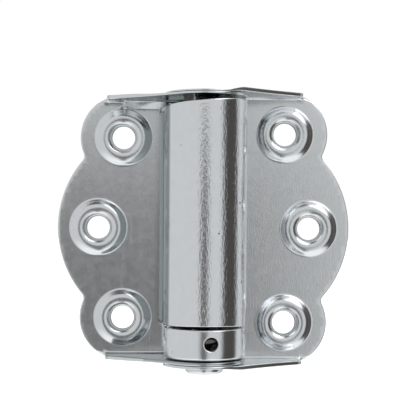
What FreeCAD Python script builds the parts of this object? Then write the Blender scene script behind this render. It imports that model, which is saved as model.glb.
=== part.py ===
"""Spring loaded door hinge: two pressed leaves, a barrel with its spring, a tension collar and the pin.

Millimetres. The pin's axis is Z and the middle of the hinge's height is Z = 0. The barrel faces -Y, the
swing leaf lies on the +X side, and both leaves screw down on a plane behind the barrel, at +Y.
"""
import FreeCAD
import Part
import Sketcher
import math
import os

DRIVING_SIZES = {
    # sheet and the two leaf outlines
    "sheet_thick": 0.95,
    "leaf_reach": 34.925,
    "lobe_radius": 10.3,
    "lobe_overrun": 1.7,
    "middle_lobe_radius": 25.0,
    "notch_fillet": 1.5,
    "end_hole_offset": 19.35,
    "middle_hole_offset": 25.25,
    "swing_edge_offset": 2.0,
    # raised screw bosses
    "screw_hole_diameter": 5.45,
    "boss_diameter": 13.4,
    "shoulder_diameter": 10.7,
    "crest_diameter": 9.6,
    "boss_height": 1.2,
    "hole_land": 0.35,
    # folded ears and the lip under the top ear
    "ear_spacing": 60.2,
    "ear_gap": 0.15,
    "ear_inset": 0.1,
    "ear_nose": 4.6,
    "ear_sweep_radius": 90.0,
    "fold_radius": 0.45,
    "fold_flat": 0.08,
    "lip_depth": 3.0,
    "lance_gap": 0.35,
    "lip_relief": 0.25,
    # barrel wrapped from the barrel leaf
    "barrel_diameter": 19.2,
    "plate_clearance": 0.2,
    "bend_radius": 0.75,
    "barrel_end_angle": 60.0,
    "barrel_head_gap": 1.1,
    "rim_rise": 0.4,
    "bend_relief": 0.35,
    "plate_tuck": 0.25,
    # tension collar
    "collar_inset": 0.15,
    "collar_height": 7.1,
    "collar_wall": 1.0,
    "collar_floor": 1.2,
    "collar_edge": 1.0,
    "collar_rim_gap": 0.35,
    "collar_seat_gap": 0.15,
    "rod_hole_diameter": 3.2,
    "rod_hole_height": 3.9,
    "rod_hole_angle": 8.0,
    "collar_section_angle": 143.0,
    # pin
    "pin_diameter": 6.0,
    "pin_clearance": 0.05,
    "head_diameter": 8.7,
    "head_height": 1.4,
    "peen_diameter": 7.4,
    "peen_height": 0.5,
    # torsion spring
    "wire_diameter": 2.0,
    "coil_clearance": 0.65,
    "coil_turns": 14.0,
    "leg_clearance": 0.12,
    "leg_drop": 1.3,
}

doc = FreeCAD.newDocument("SpringHinge")
sheet = doc.addObject("Spreadsheet::Sheet", "Sizes")
for row, (alias, number) in enumerate(DRIVING_SIZES.items(), start=1):
    sheet.set(f"A{row}", alias)
    sheet.set(f"B{row}", str(number))
    sheet.setAlias(f"B{row}", alias)
doc.recompute()


class Size:
    """A number together with the spreadsheet formula that drives it."""

    def __init__(self, formula, number):
        self.formula = formula
        self.number = number

    def __add__(self, other):
        other = as_size(other)
        return Size(f"({self.formula} + {other.formula})", self.number + other.number)

    def __sub__(self, other):
        other = as_size(other)
        return Size(f"({self.formula} - {other.formula})", self.number - other.number)

    def __mul__(self, other):
        other = as_size(other)
        return Size(f"({self.formula} * {other.formula})", self.number * other.number)

    def __truediv__(self, other):
        other = as_size(other)
        return Size(f"({self.formula} / {other.formula})", self.number / other.number)

    def __neg__(self):
        return Size(f"(0 - {self.formula})", -self.number)


def as_size(value):
    """A Size from a Size or a plain count."""
    if isinstance(value, Size):
        return value
    return Size(str(value), float(value))


def root(size):
    """Square root of a Size."""
    return Size(f"sqrt({size.formula})", math.sqrt(size.number))


def cosine(degrees):
    """Cosine of an angle held in degrees."""
    return Size(f"cos({degrees.formula} * 1deg)", math.cos(math.radians(degrees.number)))


def sine(degrees):
    """Sine of an angle held in degrees."""
    return Size(f"sin({degrees.formula} * 1deg)", math.sin(math.radians(degrees.number)))


def cell(alias):
    """The Size held in one cell of the sheet."""
    return Size(f"Sizes.{alias}", float(sheet.get(alias)))


ZERO = as_size(0)
THICK = cell("sheet_thick")
BARREL_RADIUS = cell("barrel_diameter") / 2
PLATE_FRONT = BARREL_RADIUS + cell("plate_clearance")
PLATE_BACK = PLATE_FRONT + THICK
BEND_X = BARREL_RADIUS + cell("bend_radius")
EAR_RADIUS = BARREL_RADIUS - cell("ear_inset")
COLLAR_RADIUS = BARREL_RADIUS - cell("collar_inset")
COLLAR_INSIDE = COLLAR_RADIUS - cell("collar_wall")
TUCK_X = COLLAR_RADIUS - cell("plate_tuck")

INNER_EAR = cell("ear_spacing") / 2
OUTER_EAR = INNER_EAR + THICK + cell("ear_gap")
BARREL_TOP = INNER_EAR - cell("barrel_head_gap")
COLLAR_BOTTOM = cell("collar_seat_gap") - INNER_EAR
COLLAR_TOP = COLLAR_BOTTOM + cell("collar_height")
BARREL_BOTTOM = COLLAR_TOP + cell("collar_rim_gap")
LIP_TOP = INNER_EAR - cell("lance_gap")
LIP_BOTTOM = LIP_TOP - THICK

PIN_RADIUS = cell("pin_diameter") / 2
WIRE_RADIUS = cell("wire_diameter") / 2
COIL_RADIUS = COLLAR_INSIDE - cell("coil_clearance") - WIRE_RADIUS
LEG_ROOM = WIRE_RADIUS + cell("leg_clearance")
LOWER_LEG = COLLAR_BOTTOM + cell("collar_floor") + LEG_ROOM + cell("leg_clearance")
UPPER_LEG = BARREL_TOP - cell("leg_drop")

FRONT_TO_BACK = "XY_Plane"
FACE_ON = "XZ_Plane"
SIDE_ON = "YZ_Plane"


class Arc:
    """A round stretch of an outline: its radius, its centre and the way it runs."""

    def __init__(self, radius, centre_x, centre_y, anticlockwise):
        self.radius = radius
        self.centre = FreeCAD.Vector(centre_x.number, centre_y.number, 0)
        self.anticlockwise = anticlockwise


def new_body(label):
    """An empty body that carries one named sub-part."""
    body = doc.addObject("PartDesign::Body", label)
    body.Label = label
    return body


def new_sketch(body, plane, name, shift_x=None, shift_z=None):
    """A sketch on one of the body's own planes, shifted along it or along its normal."""
    sketch = body.newObject("Sketcher::SketchObject", name)
    support = [item for item in body.Origin.OriginFeatures if item.Role == plane]
    sketch.AttachmentSupport = [(support[0], "")]
    sketch.MapMode = "FlatFace"
    if shift_x is not None:
        sketch.setExpression("AttachmentOffset.Base.x", shift_x.formula)
    if shift_z is not None:
        sketch.setExpression("AttachmentOffset.Base.z", shift_z.formula)
    return sketch


def turn_about_pin(sketch, angle):
    """Turn a face-on sketch about the pin's axis by an angle in degrees."""
    upright = FreeCAD.Vector(0, 1, 0)
    sketch.AttachmentOffset = FreeCAD.Placement(FreeCAD.Vector(), FreeCAD.Rotation(upright, angle.number))
    sketch.setExpression("AttachmentOffset.Rotation.Angle", angle.formula)


def bind(sketch, constraint, size):
    """Add a constraint and drive it from the sheet."""
    index = sketch.addConstraint(constraint)
    sketch.setExpression(f"Constraints[{index}]", size.formula)


def pin_point(sketch, edge, end, point):
    """Hold one end of an edge at a point of the sketch."""
    bind(sketch, Sketcher.Constraint("DistanceX", -1, 1, edge, end, point[0].number), point[0])
    bind(sketch, Sketcher.Constraint("DistanceY", -1, 1, edge, end, point[1].number), point[1])


def draw_outline(sketch, corners, arcs=None):
    """Draw a closed outline through its corners; arcs maps the index of a side to its Arc."""
    arcs = arcs or {}
    ends = []
    for index, corner in enumerate(corners):
        following = corners[(index + 1) % len(corners)]
        start = FreeCAD.Vector(corner[0].number, corner[1].number, 0)
        finish = FreeCAD.Vector(following[0].number, following[1].number, 0)
        if index not in arcs:
            edge = sketch.addGeometry(Part.LineSegment(start, finish))
            ends.append((edge, 1, 2))
            continue
        arc = arcs[index]
        first, last = (start, finish) if arc.anticlockwise else (finish, start)
        angles = [math.atan2(p.y - arc.centre.y, p.x - arc.centre.x) for p in (first, last)]
        circle = Part.Circle(arc.centre, FreeCAD.Vector(0, 0, 1), arc.radius.number)
        edge = sketch.addGeometry(Part.ArcOfCircle(circle, angles[0], angles[1]))
        ends.append((edge, 1, 2) if arc.anticlockwise else (edge, 2, 1))
    for index, corner in enumerate(corners):
        edge, start_end, finish_end = ends[index]
        following = ends[(index + 1) % len(corners)]
        sketch.addConstraint(Sketcher.Constraint("Coincident", edge, finish_end, following[0], following[1]))
        pin_point(sketch, edge, start_end, corner)
        if index in arcs:
            radius = arcs[index].radius
            bind(sketch, Sketcher.Constraint("Radius", edge, radius.number), radius)


def draw_circle(sketch, centre_x, centre_y, radius):
    """Draw a circle held at its centre."""
    centre = FreeCAD.Vector(centre_x.number, centre_y.number, 0)
    edge = sketch.addGeometry(Part.Circle(centre, FreeCAD.Vector(0, 0, 1), radius.number))
    pin_point(sketch, edge, 3, (centre_x, centre_y))
    bind(sketch, Sketcher.Constraint("Radius", edge, radius.number), radius)


def pad(body, sketch, name, length, reverse=False):
    """Raise a sketch into solid by a length."""
    feature = body.newObject("PartDesign::Pad", name)
    feature.Profile = sketch
    feature.setExpression("Length", length.formula)
    feature.Reversed = reverse
    doc.recompute()
    return feature


def pocket(body, sketch, name, length=None, both_ways=False, reverse=False):
    """Cut a sketch out of the body, right through or by a length, and make sure that it cuts."""
    before = body.Shape.Volume
    feature = body.newObject("PartDesign::Pocket", name)
    feature.Profile = sketch
    feature.Midplane = both_ways
    feature.Reversed = reverse
    if length is None:
        feature.Type = "ThroughAll"
    else:
        feature.setExpression("Length", length.formula)
    doc.recompute()
    if body.Shape.Volume >= before:
        raise RuntimeError(f"{name} cuts nothing")
    return feature


def revolve(body, sketch, name):
    """Turn a sketch about its own vertical axis."""
    feature = body.newObject("PartDesign::Revolution", name)
    feature.Profile = sketch
    feature.ReferenceAxis = (sketch, ["V_Axis"])
    feature.Angle = 360
    doc.recompute()
    return feature


def fillet_where(body, name, radius, belongs):
    """Round the edges of the body whose middle passes a test."""
    base = body.Tip
    names = []
    for index, edge in enumerate(base.Shape.Edges, start=1):
        middle = edge.valueAt((edge.FirstParameter + edge.LastParameter) / 2)
        if belongs(edge, middle):
            names.append(f"Edge{index}")
    feature = body.newObject("PartDesign::Fillet", name)
    feature.Base = (base, names)
    feature.setExpression("Radius", radius.formula)
    doc.recompute()
    return feature


def near(value, size):
    """Whether a coordinate lies on a size."""
    return abs(value - size.number) < 1e-4


def screw_holes(ear_inside):
    """Offset from the pin and height of a leaf's three screw holes."""
    end_height = ear_inside - cell("lobe_radius") + cell("lobe_overrun")
    end = cell("end_hole_offset")
    return [(end, end_height), (cell("middle_hole_offset"), ZERO), (end, -end_height)]


def add_plate(body, side, ear_inside, inner_edge, lanced):
    """The flat plate of a leaf: two corner lobes round the end holes and one broad middle lobe.

    A lanced plate leaves its top edge to the lip, and below the barrel it tucks in behind the collar.
    """
    top = ear_inside + THICK
    lobe = cell("lobe_radius")
    (hole_x, hole_z), _, _ = screw_holes(ear_inside)
    ear_end = hole_x + root(lobe * lobe - (top - hole_z) * (top - hole_z))

    # the notch is where the corner lobe's circle meets the middle lobe's circle
    broad = cell("middle_lobe_radius")
    broad_x = cell("leaf_reach") - broad
    run_x = hole_x - broad_x
    span = root(run_x * run_x + hole_z * hole_z)
    along = (broad * broad - lobe * lobe + span * span) / (span * 2)
    across = root(broad * broad - along * along)
    notch_x = broad_x + along * run_x / span + across * hole_z / span
    notch_z = along * hole_z / span - across * run_x / span

    corners = [
        (ear_end * side, top),
        (notch_x * side, notch_z),
        (notch_x * side, -notch_z),
        (ear_end * side, -top),
    ]
    if lanced:
        lip_line = LIP_BOTTOM - cell("fold_radius")
        slit = BARREL_BOTTOM - cell("bend_relief")
        corners += [(TUCK_X * side, -top), (TUCK_X * side, slit), (inner_edge * side, slit)]
        corners += [(inner_edge * side, lip_line), (hole_x * side, lip_line), (hole_x * side, top)]
    else:
        corners += [(inner_edge * side, -top), (inner_edge * side, top)]
    turn = side < 0
    arcs = {
        0: Arc(lobe, hole_x * side, hole_z, turn),
        1: Arc(broad, broad_x * side, ZERO, turn),
        2: Arc(lobe, hole_x * side, -hole_z, turn),
    }
    sketch = new_sketch(body, FACE_ON, f"{body.Label}_plate_outline", shift_z=-PLATE_BACK)
    draw_outline(sketch, corners, arcs)
    pad(body, sketch, f"{body.Label}_plate", THICK)

    def in_notch(edge, middle):
        return near(abs(middle.x), notch_x) and near(abs(middle.z), notch_z)

    fillet_where(body, f"{body.Label}_notch_fillet", cell("notch_fillet"), in_notch)
    return ear_end


def ear_outline(side, ear_end, back_corners, arc_finish):
    """Corners and arcs of an ear seen along the pin, from the plate out along the nose and round the pin."""
    round_end = EAR_RADIUS
    sweep = cell("ear_sweep_radius")
    nose_y = PLATE_FRONT - cell("ear_nose")

    # the hollow front edge is an arc through the nose's corner that touches the round end from outside
    reach = root(ear_end * ear_end + nose_y * nose_y)
    centre_reach = sweep + round_end
    along = (centre_reach * centre_reach - sweep * sweep + reach * reach) / (reach * 2)
    across = root(centre_reach * centre_reach - along * along)
    sweep_x = (along * ear_end + across * nose_y) / reach
    sweep_y = (along * nose_y - across * ear_end) / reach
    touch_x = sweep_x * round_end / centre_reach
    touch_y = sweep_y * round_end / centre_reach

    corners = [
        (ear_end * side, PLATE_FRONT),
        (ear_end * side, nose_y),
        (touch_x * side, touch_y),
        arc_finish,
    ]
    arcs = {
        1: Arc(sweep, sweep_x * side, sweep_y, side > 0),
        2: Arc(round_end, ZERO, ZERO, side < 0),
    }
    return corners + back_corners, arcs


def add_ear(body, side, ear_end, name, low_face, back_corners, arc_finish):
    """One ear folded forward from the plate, with its rounded end on the pin."""
    corners, arcs = ear_outline(side, ear_end, back_corners, arc_finish)
    sketch = new_sketch(body, FRONT_TO_BACK, f"{name}_outline", shift_z=low_face)
    draw_outline(sketch, corners, arcs)
    pad(body, sketch, name, THICK)


def round_folds(body, ear_inside):
    """Give the folds between plate and ears their inside and outside bend."""
    top = ear_inside + THICK

    def inside_fold(edge, middle):
        straight = near(middle.y, PLATE_FRONT) and near(abs(middle.z), ear_inside)
        return straight and abs(edge.tangentAt(edge.FirstParameter).x) > 0.99

    def outside_fold(edge, middle):
        straight = near(middle.y, PLATE_BACK) and near(abs(middle.z), top)
        return straight and abs(edge.tangentAt(edge.FirstParameter).x) > 0.99

    fillet_where(body, f"{body.Label}_inside_folds", cell("fold_radius"), inside_fold)
    fillet_where(body, f"{body.Label}_outside_folds", THICK - cell("fold_flat"), outside_fold)


def add_bosses(body, side, ear_inside):
    """Press the raised, countersunk boss round each screw hole."""
    hole = cell("screw_hole_diameter") / 2
    base = cell("boss_diameter") / 2
    shoulder = cell("shoulder_diameter") / 2
    crest = cell("crest_diameter") / 2
    crest_y = PLATE_FRONT - cell("boss_height")
    land_y = PLATE_BACK - cell("hole_land")

    cut_sketch = new_sketch(body, FACE_ON, f"{body.Label}_boss_room", shift_z=-PLATE_BACK)
    for hole_x, hole_z in screw_holes(ear_inside):
        draw_circle(cut_sketch, hole_x * side, hole_z, base)
    pocket(body, cut_sketch, f"{body.Label}_boss_cut", THICK, reverse=True)

    # the funnel is a quarter turn that leaves the hole straight and meets the crest
    depth = land_y - crest_y
    width = crest - hole
    funnel = (depth * depth + width * width) / (width * 2)
    corners = [
        (base, PLATE_FRONT),
        (shoulder, crest_y),
        (crest, crest_y),
        (hole, land_y),
        (hole, PLATE_BACK),
        (crest, crest_y + THICK),
        (shoulder, crest_y + THICK),
        (base, PLATE_BACK),
    ]
    arcs = {2: Arc(funnel, hole + funnel, land_y, False)}
    for index, (hole_x, hole_z) in enumerate(screw_holes(ear_inside), start=1):
        name = f"{body.Label}_boss_{index}"
        sketch = new_sketch(body, FRONT_TO_BACK, f"{name}_section", hole_x * side, hole_z)
        draw_outline(sketch, corners, arcs)
        revolve(body, sketch, name)


def bore_ears(body, radius):
    """Bore both ears for the pin."""
    sketch = new_sketch(body, FRONT_TO_BACK, f"{body.Label}_pin_hole")
    draw_circle(sketch, ZERO, ZERO, radius)
    pocket(body, sketch, f"{body.Label}_pin_bore", both_ways=True)


def add_barrel(body):
    """Wrap the barrel forward from the plate's inner edge, round the front and back behind the pin."""
    outer = BARREL_RADIUS
    inner = BARREL_RADIUS - THICK
    bend = cell("bend_radius")
    bend_y = PLATE_FRONT - bend
    angle = cell("barrel_end_angle")
    corners = [
        (-BEND_X, PLATE_FRONT),
        (-outer, bend_y),
        (-outer, ZERO),
        (outer * cosine(angle), outer * sine(angle)),
        (inner * cosine(angle), inner * sine(angle)),
        (-inner, ZERO),
        (-inner, bend_y),
        (-BEND_X, PLATE_BACK),
    ]
    arcs = {
        0: Arc(bend, -BEND_X, bend_y, False),
        2: Arc(outer, ZERO, ZERO, True),
        4: Arc(inner, ZERO, ZERO, False),
        6: Arc(bend + THICK, -BEND_X, bend_y, True),
    }
    sketch = new_sketch(body, FRONT_TO_BACK, "barrel_section", shift_z=BARREL_BOTTOM)
    draw_outline(sketch, corners, arcs)
    pad(body, sketch, "barrel_wall", BARREL_TOP - BARREL_BOTTOM)


def raise_front_rim(body):
    """Slope the front half of the barrel's lower rim up towards the viewer."""
    beyond = BARREL_RADIUS + THICK
    rise = cell("rim_rise") * beyond / BARREL_RADIUS
    sketch = new_sketch(body, SIDE_ON, "rim_wedge")
    draw_outline(sketch, [
        (ZERO, BARREL_BOTTOM),
        (-beyond, BARREL_BOTTOM),
        (-beyond, BARREL_BOTTOM + rise),
    ])
    pocket(body, sketch, "raised_rim", both_ways=True)


def add_lip(body):
    """Turn the plate's top edge forward into a short lip under the lanced ear."""
    fold = cell("fold_radius")
    lip_front = PLATE_FRONT - cell("lip_depth")
    tangent = LIP_BOTTOM - fold
    corners = [
        (PLATE_FRONT, tangent),
        (PLATE_FRONT - fold, LIP_BOTTOM),
        (lip_front, LIP_BOTTOM),
        (lip_front, LIP_TOP),
        (PLATE_FRONT - fold, LIP_TOP),
        (PLATE_BACK, tangent),
    ]
    arcs = {
        0: Arc(fold, PLATE_FRONT - fold, tangent, True),
        4: Arc(fold + THICK, PLATE_FRONT - fold, tangent, False),
    }
    start = BEND_X + cell("lip_relief")
    sketch = new_sketch(body, SIDE_ON, "lip_section", shift_z=-start)
    draw_outline(sketch, corners, arcs)
    finish = cell("end_hole_offset") - cell("lance_gap")
    pad(body, sketch, "lip", finish - start, reverse=True)


def cut_leg_notch(body):
    """Open the bend at the barrel's top for the spring's upper leg."""
    sketch = new_sketch(body, SIDE_ON, "leg_notch_outline")
    low = UPPER_LEG - LEG_ROOM
    front = COIL_RADIUS - LEG_ROOM
    draw_outline(sketch, [
        (front, low),
        (PLATE_BACK + THICK, low),
        (PLATE_BACK + THICK, BARREL_TOP),
        (front, BARREL_TOP),
    ])
    pocket(body, sketch, "leg_notch", BEND_X + cell("lip_relief"))


def make_barrel_leaf():
    """The fixed leaf: plate, inner ears, lip and barrel from one sheet."""
    side = -1
    body = new_body("barrel_leaf")
    ear_end = add_plate(body, side, INNER_EAR, BEND_X, lanced=True)
    add_barrel(body)
    raise_front_rim(body)
    add_lip(body)
    cut_leg_notch(body)

    round_end = EAR_RADIUS
    lance_y = PLATE_FRONT - cell("lip_depth") - cell("lance_gap")
    lance_x = root(round_end * round_end - lance_y * lance_y)
    neck_x = -cell("end_hole_offset")
    free_back = [(neck_x, lance_y), (neck_x, PLATE_FRONT)]
    add_ear(body, side, ear_end, "inner_top_ear", INNER_EAR, free_back, (-lance_x, lance_y))
    full_back = [(-TUCK_X, PLATE_FRONT)]
    add_ear(body, side, ear_end, "inner_bottom_ear", -(INNER_EAR + THICK), full_back, (ZERO, round_end))
    round_folds(body, INNER_EAR)
    add_bosses(body, side, INNER_EAR)
    bore_ears(body, PIN_RADIUS)
    return body


def make_swing_leaf():
    """The moving leaf: plate and outer ears from one sheet."""
    side = 1
    body = new_body("swing_leaf")
    edge = cell("swing_edge_offset")
    ear_end = add_plate(body, side, OUTER_EAR, edge, lanced=False)
    back = [(edge, PLATE_FRONT)]
    finish = (ZERO, EAR_RADIUS)
    add_ear(body, side, ear_end, "outer_top_ear", OUTER_EAR, back, finish)
    add_ear(body, side, ear_end, "outer_bottom_ear", -(OUTER_EAR + THICK), back, finish)
    round_folds(body, OUTER_EAR)
    add_bosses(body, side, OUTER_EAR)
    bore_ears(body, PIN_RADIUS + cell("pin_clearance"))
    return body


def make_collar():
    """The tension collar: a turned cup with four rod holes and an anchor hole for the spring."""
    body = new_body("tension_collar")
    outer = COLLAR_RADIUS
    inner = COLLAR_INSIDE
    bore = PIN_RADIUS + cell("pin_clearance")
    edge = cell("collar_edge")
    floor = COLLAR_BOTTOM + cell("collar_floor")
    section = new_sketch(body, FACE_ON, "collar_section")
    turn_about_pin(section, cell("collar_section_angle"))
    corners = [
        (bore, COLLAR_BOTTOM),
        (outer - edge, COLLAR_BOTTOM),
        (outer, COLLAR_BOTTOM + edge),
        (outer, COLLAR_TOP),
        (inner, COLLAR_TOP),
        (inner, floor),
        (bore, floor),
    ]
    draw_outline(section, corners, {1: Arc(edge, outer - edge, COLLAR_BOTTOM + edge, True)})
    revolve(body, section, "collar_cup")

    rod_sketch = new_sketch(body, FACE_ON, "rod_hole_outline")
    turn_about_pin(rod_sketch, cell("rod_hole_angle"))
    rod_height = COLLAR_BOTTOM + cell("rod_hole_height")
    draw_circle(rod_sketch, ZERO, rod_height, cell("rod_hole_diameter") / 2)
    rod_hole = pocket(body, rod_sketch, "rod_hole_pair", both_ways=True)
    pattern = body.newObject("PartDesign::PolarPattern", "rod_holes")
    pattern.Originals = [rod_hole]
    pattern.Axis = (section, ["V_Axis"])
    pattern.Angle = 90
    pattern.Occurrences = 2
    body.Tip = pattern
    doc.recompute()

    anchor = new_sketch(body, SIDE_ON, "anchor_outline")
    draw_circle(anchor, COIL_RADIUS, LOWER_LEG, LEG_ROOM)
    pocket(body, anchor, "anchor_hole", outer, reverse=True)
    return body


def make_pin():
    """The rivet through the ears, with a button head below and a peened end above."""
    body = new_body("pintle_pin")
    head = cell("head_diameter") / 2
    peen = cell("peen_diameter") / 2
    seat = OUTER_EAR + THICK + cell("pin_clearance")
    head_end = -(seat + cell("head_height"))
    peen_end = seat + cell("peen_height")
    rise = cell("head_height")
    dome = (head * head + rise * rise) / (rise * 2)
    swell = cell("peen_height")
    crown = (peen * peen + swell * swell) / (swell * 2)
    corners = [
        (ZERO, head_end),
        (head, -seat),
        (PIN_RADIUS, -seat),
        (PIN_RADIUS, seat),
        (peen, seat),
        (ZERO, peen_end),
    ]
    arcs = {
        0: Arc(dome, ZERO, head_end + dome, True),
        4: Arc(crown, ZERO, peen_end - crown, True),
    }
    sketch = new_sketch(body, FACE_ON, "pin_section")
    draw_outline(sketch, corners, arcs)
    revolve(body, sketch, "rivet")
    return body


def make_spring():
    """The torsion spring: a coil between two straight legs that leave it square to the pin."""
    body = new_body("torsion_spring")
    wire = new_sketch(body, SIDE_ON, "wire_section")
    draw_circle(wire, COIL_RADIUS, LOWER_LEG, WIRE_RADIUS)
    coil = body.newObject("PartDesign::AdditiveHelix", "coil")
    coil.Profile = wire
    coil.ReferenceAxis = (wire, ["V_Axis"])
    coil.Mode = "height-turns-growth"
    coil.setExpression("Height", (UPPER_LEG - LOWER_LEG).formula)
    coil.setExpression("Turns", cell("coil_turns").formula)
    coil.Growth = 0
    coil.LeftHanded = False
    doc.recompute()

    anchor_reach = COLLAR_RADIUS - cell("collar_wall") / 2
    lower_length = root(anchor_reach * anchor_reach - COIL_RADIUS * COIL_RADIUS)
    lower = new_sketch(body, SIDE_ON, "lower_leg_section")
    draw_circle(lower, COIL_RADIUS, LOWER_LEG, WIRE_RADIUS)
    pad(body, lower, "lower_leg", lower_length)
    upper = new_sketch(body, SIDE_ON, "upper_leg_section")
    draw_circle(upper, COIL_RADIUS, UPPER_LEG, WIRE_RADIUS)
    pad(body, upper, "upper_leg", BARREL_RADIUS, reverse=True)
    return body


def check_document(bodies):
    """Stop if any object failed or any sub-part is not one sound solid."""
    doc.recompute()
    for item in doc.Objects:
        if "Invalid" in item.State or "Error" in item.State:
            raise RuntimeError(f"{item.Label} failed: {item.State}")
    for body in bodies:
        shape = body.Shape
        if shape.isNull() or not shape.isValid():
            raise RuntimeError(f"{body.Label} is not a valid shape")
        if len(shape.Solids) != 1:
            raise RuntimeError(f"{body.Label} has {len(shape.Solids)} solids")


def main():
    """Build every sub-part, check them and write one STEP file for each."""
    bodies = [make_barrel_leaf(), make_swing_leaf(), make_collar(), make_pin(), make_spring()]
    check_document(bodies)
    os.makedirs("parts", exist_ok=True)
    for body in bodies:
        body.Shape.exportStep(f"parts/{body.Label}.step")
        print(body.Label, round(body.Shape.Volume, 2), body.Shape.BoundBox)


main()
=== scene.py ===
"""Spring loaded door hinge: two pressed leaves, a wrapped barrel, a collar, a rivet and a coil spring.

Sizes are in millimetres and become metres as each mesh is made. The pin's axis is Z, the barrel faces -Y.
"""
import logging
import math
from dataclasses import dataclass, field
from enum import Enum
from typing import Callable, Sequence

import bmesh
import bpy
import numpy as np
from mathutils import Matrix, Vector
from mathutils.geometry import delaunay_2d_cdt


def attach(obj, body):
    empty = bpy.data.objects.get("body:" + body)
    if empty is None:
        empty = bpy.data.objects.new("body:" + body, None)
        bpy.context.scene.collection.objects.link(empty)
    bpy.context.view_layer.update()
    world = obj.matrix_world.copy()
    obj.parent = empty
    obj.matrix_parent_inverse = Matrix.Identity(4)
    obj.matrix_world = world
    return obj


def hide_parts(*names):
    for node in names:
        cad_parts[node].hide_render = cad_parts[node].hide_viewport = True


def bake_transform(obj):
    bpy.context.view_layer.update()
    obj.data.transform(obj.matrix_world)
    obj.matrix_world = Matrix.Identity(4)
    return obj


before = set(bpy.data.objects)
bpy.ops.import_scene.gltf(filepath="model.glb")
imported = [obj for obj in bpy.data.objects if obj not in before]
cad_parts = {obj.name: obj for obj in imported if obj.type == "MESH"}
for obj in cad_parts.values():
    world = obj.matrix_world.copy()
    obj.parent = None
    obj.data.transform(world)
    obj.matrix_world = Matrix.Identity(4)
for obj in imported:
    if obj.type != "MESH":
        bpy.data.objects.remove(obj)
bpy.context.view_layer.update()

MM = 0.001
LOG = logging.getLogger("hinge")

# Largest gaps between points along edges, and the gaps below which two points count as one.
EDGE_STEP = 0.6
SHORT_STEP = 0.5
ROUND_END_STEP = 0.45
BORE_STEP = 0.4
FILLET_STEP = 0.25
HOLE_STEP = 0.2
ROD_HOLE_STEP = 0.18
ROUNDING_STEP = 0.15
POINT_GAP = 0.01
STOP_GAP = 0.02

Point = tuple[float, float]
Place = Callable[[np.ndarray, np.ndarray, np.ndarray], np.ndarray]


class Side(Enum):
    """Which side of the pin a leaf lies on."""

    LEFT = -1
    RIGHT = 1


@dataclass(frozen=True)
class RimStep:
    """One ring of a cut edge: how far it stands out of the inset outline, and its share of the thickness."""

    out: float
    depth: float


SHEARED_RIM = (
    RimStep(-0.34, 0.0),
    RimStep(-0.20, 0.02),
    RimStep(-0.09, 0.09),
    RimStep(-0.02, 0.21),
    RimStep(0.0, 0.36),
    RimStep(0.0, 0.84),
    RimStep(-0.03, 0.94),
    RimStep(-0.10, 1.0),
    RimStep(-0.34, 1.0),
)
HOLE_RIM = (RimStep(0.0, 0.0), RimStep(0.0, 0.5), RimStep(0.0, 1.0))
BORE_RIM = (
    RimStep(-0.14, 0.0),
    RimStep(-0.04, 0.04),
    RimStep(0.0, 0.15),
    RimStep(0.0, 0.85),
    RimStep(-0.04, 0.96),
    RimStep(-0.14, 1.0),
)


def arc_points(centre: Point, radius: float, start: float, finish: float, step: float) -> list[Point]:
    """Points along an arc, both ends included.

    Args:
        centre: Centre of the arc.
        radius: Radius of the arc.
        start: First angle, in radians.
        finish: Last angle, in radians.
        step: Largest distance between two points.

    Returns:
        The points in order.
    """
    count = max(2, int(math.ceil(abs(finish - start) * radius / step)) + 1)
    angles = np.linspace(start, finish, count)
    return [(centre[0] + radius * math.cos(a), centre[1] + radius * math.sin(a)) for a in angles]


def line_points(start: Point, finish: Point, step: float, stops: Sequence[float] = ()) -> list[Point]:
    """Points along a straight edge, both ends included.

    Args:
        start: First end.
        finish: Last end.
        step: Largest distance between two points.
        stops: Heights at which an upright edge gets a point as well.

    Returns:
        The points in order.
    """
    length = math.dist(start, finish)
    shares = set(np.linspace(0.0, 1.0, max(2, int(math.ceil(length / step)) + 1)))
    rise = finish[1] - start[1]
    for stop in stops:
        if abs(rise) > 1e-9 and 0.0 < (stop - start[1]) / rise < 1.0:
            shares.add((stop - start[1]) / rise)
    kept: list[float] = []
    for share in sorted(shares):
        if not kept or (share - kept[-1]) * length > STOP_GAP:
            kept.append(share)
    kept[-1] = 1.0
    return [(start[0] + (finish[0] - start[0]) * s, start[1] + rise * s) for s in kept]


def circles_meet(first: Point, first_radius: float, second: Point, second_radius: float) -> Point:
    """The meeting point of two circles that lies to the right of the line between their centres.

    Args:
        first: Centre of the first circle.
        first_radius: Its radius.
        second: Centre of the second circle.
        second_radius: Its radius.

    Returns:
        The meeting point.
    """
    run, rise = second[0] - first[0], second[1] - first[1]
    span = math.hypot(run, rise)
    along = (first_radius**2 - second_radius**2 + span**2) / (2.0 * span)
    across = math.sqrt(first_radius**2 - along**2)
    return (first[0] + (along * run + across * rise) / span, first[1] + (along * rise - across * run) / span)


def tidy_loop(points: Sequence[Point]) -> np.ndarray:
    """A closed loop as an array, without doubled points."""
    kept: list[Point] = []
    for point in points:
        if not kept or math.dist(point, kept[-1]) > POINT_GAP:
            kept.append(point)
    if math.dist(kept[0], kept[-1]) < POINT_GAP:
        kept.pop()
    return np.array(kept)


def turn_of(loop: np.ndarray) -> float:
    """Signed area of a loop, positive when it runs anticlockwise."""
    following = np.roll(loop, -1, axis=0)
    return float(np.sum(loop[:, 0] * following[:, 1] - following[:, 0] * loop[:, 1]) / 2.0)


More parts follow.
